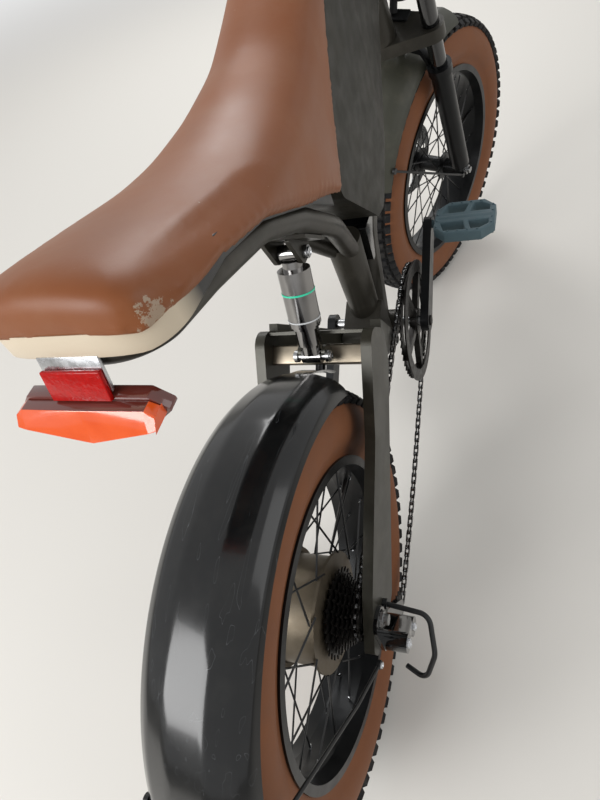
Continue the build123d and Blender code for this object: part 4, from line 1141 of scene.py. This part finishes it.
def chainPlaces():
    # pin places, evenly spaced along the loop
    fine = chainLoop()
    reach = [0.0]
    for before, after in zip(fine, fine[1:]):
        reach.append(reach[-1] + (after - before).length)
    count = 2 * round(reach[-1] / drive["pitch"] / 2)
    places, segment = [], 0
    for number in range(count):
        target = reach[-1] * number / count
        while reach[segment + 1] < target:
            segment += 1
        share = (target - reach[segment]) / (reach[segment + 1] - reach[segment])
        places.append(fine[segment].lerp(fine[segment + 1], share))
    return places


def linkPlate(bm):
    # a plate about two pins one pitch apart, as a hull of two flat discs
    for along in (-0.5, 0.5):
        middle = Matrix.Translation((along * drive["pitch"], 0, 0))
        addDrum(bm, 12, drive["plateRadius"], drive["plateWall"], middle)
    hull = bmesh.ops.convex_hull(bm, input=bm.verts[:])
    bmesh.ops.delete(bm, geom=vertsIn(hull["geom_interior"] + hull["geom_unused"]), context="VERTS")


def barrel(bm):
    addDrum(bm, 12, 1, 1, Matrix.Identity(4))


keepShape("linkPlate", linkPlate)
keepShape("barrel", barrel)


def makeChain(places):
    plates, rollers = bmesh.new(), bmesh.new()
    for number, (place, after) in enumerate(zip(places, places[1:] + places[:1])):
        way = (after - place).normalized()
        middle = (place + after) / 2
        turn = Matrix.Rotation(-math.atan2(way.z, way.x), 4, "Y")
        gap = drive["plateSides"][number % 2]
        for side in (-gap, gap):
            spot = Matrix.Translation((middle.x, drive["side"] + side, middle.z))
            addShape(plates, "linkPlate", spot @ turn @ acrossBike)
        spot = Matrix.Translation((place.x, drive["side"], place.z))
        for kind in ("roller", "pin"):
            radius, width = drive[kind + "Radius"], drive[kind + "Width"]
            addShape(rollers, "barrel", spot @ acrossBike @ Matrix.Diagonal((radius, radius, width, 1)))
    finishPiece(rollers, "chainRollers", "frame", upright, ["bareSteel"])
    finishPiece(plates, "chainPlates", "frame", upright, ["phosphatedSteel"],
                replaced="chain")


def addCog(bm, teeth, side, wall, bore, centre, phase, cut=0.0, rise=drive["toothRise"]):
    # a toothed disc: each tooth is a root, a flank and a narrow tip
    root = pitchRadius(teeth) - cut - drive["rollerRadius"]
    steps = [(phase + (number + share) * 2 * math.pi / teeth, root + lift) for number in range(teeth)
             for share, lift in ((0.18, 0.0), (0.42, rise), (0.58, rise), (0.82, 0.0))]
    outer = [bm.verts.new(onCircle(centre, reach, turn, side)) for turn, reach in steps]
    inner = [bm.verts.new(onCircle(centre, bore, turn, side)) for turn, reach in steps]
    corners = zip(outer, outer[1:] + outer[:1], inner[1:] + inner[:1], inner)
    ring = [bm.faces.new(four) for four in corners]
    moveNew(bm, bmesh.ops.extrude_face_region(bm, geom=ring, use_keep_orig=True), (0, wall, 0))


def pinPhase(places, centre, radius):
    # the angle of the pin that lies nearest to a wheel's pitch circle
    middle = Vector((centre[0], 0, centre[1]))
    pin = min(places, key=lambda place: abs((place - middle).length - radius))
    return math.atan2(pin.z - middle.z, pin.x - middle.x)


def addDriven(bm, places, teeth, wall, bore, centre):
    # a toothed wheel on the chain's line, turned so that its teeth stand between the pins
    phase = pinPhase(places, centre, pitchRadius(teeth))
    addCog(bm, teeth, drive["side"] - wall / 2, wall, bore, centre, phase)


def makeChainring(places):
    bm = bmesh.new()
    bore = pitchRadius(drive["ringTeeth"]) - drive["ringBand"]
    addDriven(bm, places, drive["ringTeeth"], drive["ringWall"], bore, drive["ringCentre"])
    finishPiece(bm, "chainringTeeth", "crank", upright, ["phosphatedSteel"])


def makeCassette():
    bm = bmesh.new()
    for number, teeth in enumerate(drive["cogs"]):
        side = drive["cogFirstSide"] - number * drive["cogStep"] - drive["cogWall"] / 2
        last = teeth == drive["cogs"][-1]
        addCog(bm, teeth, side, drive["cogWall"], drive["cogBore"], drive["cogCentre"],
               number * drive["cogPhase"], drive["lastCogCut"] if last else 0.0,
               drive["lastCogRise"] if last else drive["toothRise"])
    for start, end, radius in drive["sleeves"]:
        addSleeve(bm, 36, radius, start, end, drive["cogCentre"][1])
    finishPiece(bm, "cassetteCogs", "rear_wheel", upright, ["phosphatedSteel"],
                replaced="cassette")


def makePulleys(places):
    bm = bmesh.new()
    for centre in (drive["guidePulley"], drive["tensionPulley"]):
        addDriven(bm, places, drive["pulleyTeeth"], drive["pulleyWall"], drive["pulleyBore"], centre)
    finishPiece(bm, "pulleyWheels", "frame", upright, ["mouldedNylonBlack"],
                replaced="derailleur_pulleys")


pinPlaces = chainPlaces()
makeChain(pinPlaces)
makeChainring(pinPlaces)
makeCassette()
makePulleys(pinPlaces)
print("drive made")

# pedals: a flat deck with four windows and rows of studs

pedal = {
    "length": 100.0,
    "width": 88.0,
    "wall": 20.0,
    "corner": 20.0,
    "edge": 2.2,
    "innerGap": 5.0,
    "crankSide": 84.0,
    "crankWall": 14.0,
    "crankLength": 170.0,
    "crankAngle": 34.0,
    "barrelRadius": 11.0,
    "barrelInset": (1.0, 5.0),  # from the deck's inner and outer end
    "spindleRadius": 6.8,
    "spindleReach": 13.0,  # past the gap, into the crank
    "windows": [
        # corners from the spindle and from the inner end
        [(13, 10), (35, 18), (35, 54), (13, 48)],
        [(13, 57), (35, 63), (35, 76), (25, 90), (13, 90)],
    ],
    "studs": [(39, 26), (39, 42), (39, 58), (39, 74), (24, 4.5), (24, 95.5), (9, 4.5), (9, 95.5)],
    "studSize": (1.9, 2.2, 1.5),  # radius at the foot, height, radius at the tip
    "studMiddle": 0.6,  # above the deck
}


def fillBetween(bm, loops, height):
    edges = []
    for loop in loops:
        verts = [bm.verts.new((x, y, height)) for x, y in loop]
        edges += [bm.edges.new(pair) for pair in zip(verts, verts[1:] + verts[:1])]
    bmesh.ops.triangle_fill(bm, use_beauty=True, use_dissolve=True, edges=edges)


def makePedal(name, node, body, side):
    half, long, cut, wall = pedal["width"] / 2, pedal["length"], pedal["corner"], pedal["wall"]
    outer = [(half, cut), (half, long - cut), (half - cut, long), (cut - half, long), (-half, long - cut),
             (-half, cut), (cut - half, 0), (half - cut, 0)]
    windows = [[(sign * x, y) for x, y in window] for window in pedal["windows"] for sign in (1, -1)]
    bm = bmesh.new()
    fillBetween(bm, [outer] + windows, -wall / 2)
    moveNew(bm, bmesh.ops.extrude_face_region(bm, geom=bm.faces[:], use_keep_orig=True), (0, 0, wall))
    soften(bm, foldEdges(bm, 1.0), pedal["edge"], 3)
    foot, height, tip = pedal["studSize"]
    rise = wall / 2 + pedal["studMiddle"]
    for x, y in pedal["studs"]:
        for spot in ((x, y, rise), (x, y, -rise), (-x, y, rise), (-x, y, -rise)):
            addDrum(bm, 8, foot, height, Matrix.Translation(spot), tip)
    gap = pedal["innerGap"]
    inner, end = pedal["barrelInset"]
    addSleeve(bm, 28, pedal["barrelRadius"], inner, long - end)
    addSleeve(bm, 24, pedal["spindleRadius"], -gap - pedal["spindleReach"], inner)
    turn = math.radians(pedal["crankAngle"] + (0 if side < 0 else 180))
    eye = onCircle(drive["ringCentre"], pedal["crankLength"], turn)
    out = Matrix.Translation((0, pedal["crankSide"] + pedal["crankWall"] / 2 + gap, 0))
    place = Matrix.Translation(eye) @ Matrix.Diagonal((1, side, 1, 1)) @ out
    bmesh.ops.transform(bm, matrix=place, verts=bm.verts[:])
    finishPiece(bm, name, body, upright, ["mouldedNylonGrey"], replaced=node)


makePedal("rightPedalDeck", "right_pedal", "right_pedal", -1)
makePedal("leftPedalDeck", "left_pedal", "left_pedal", 1)
print("pedals made")
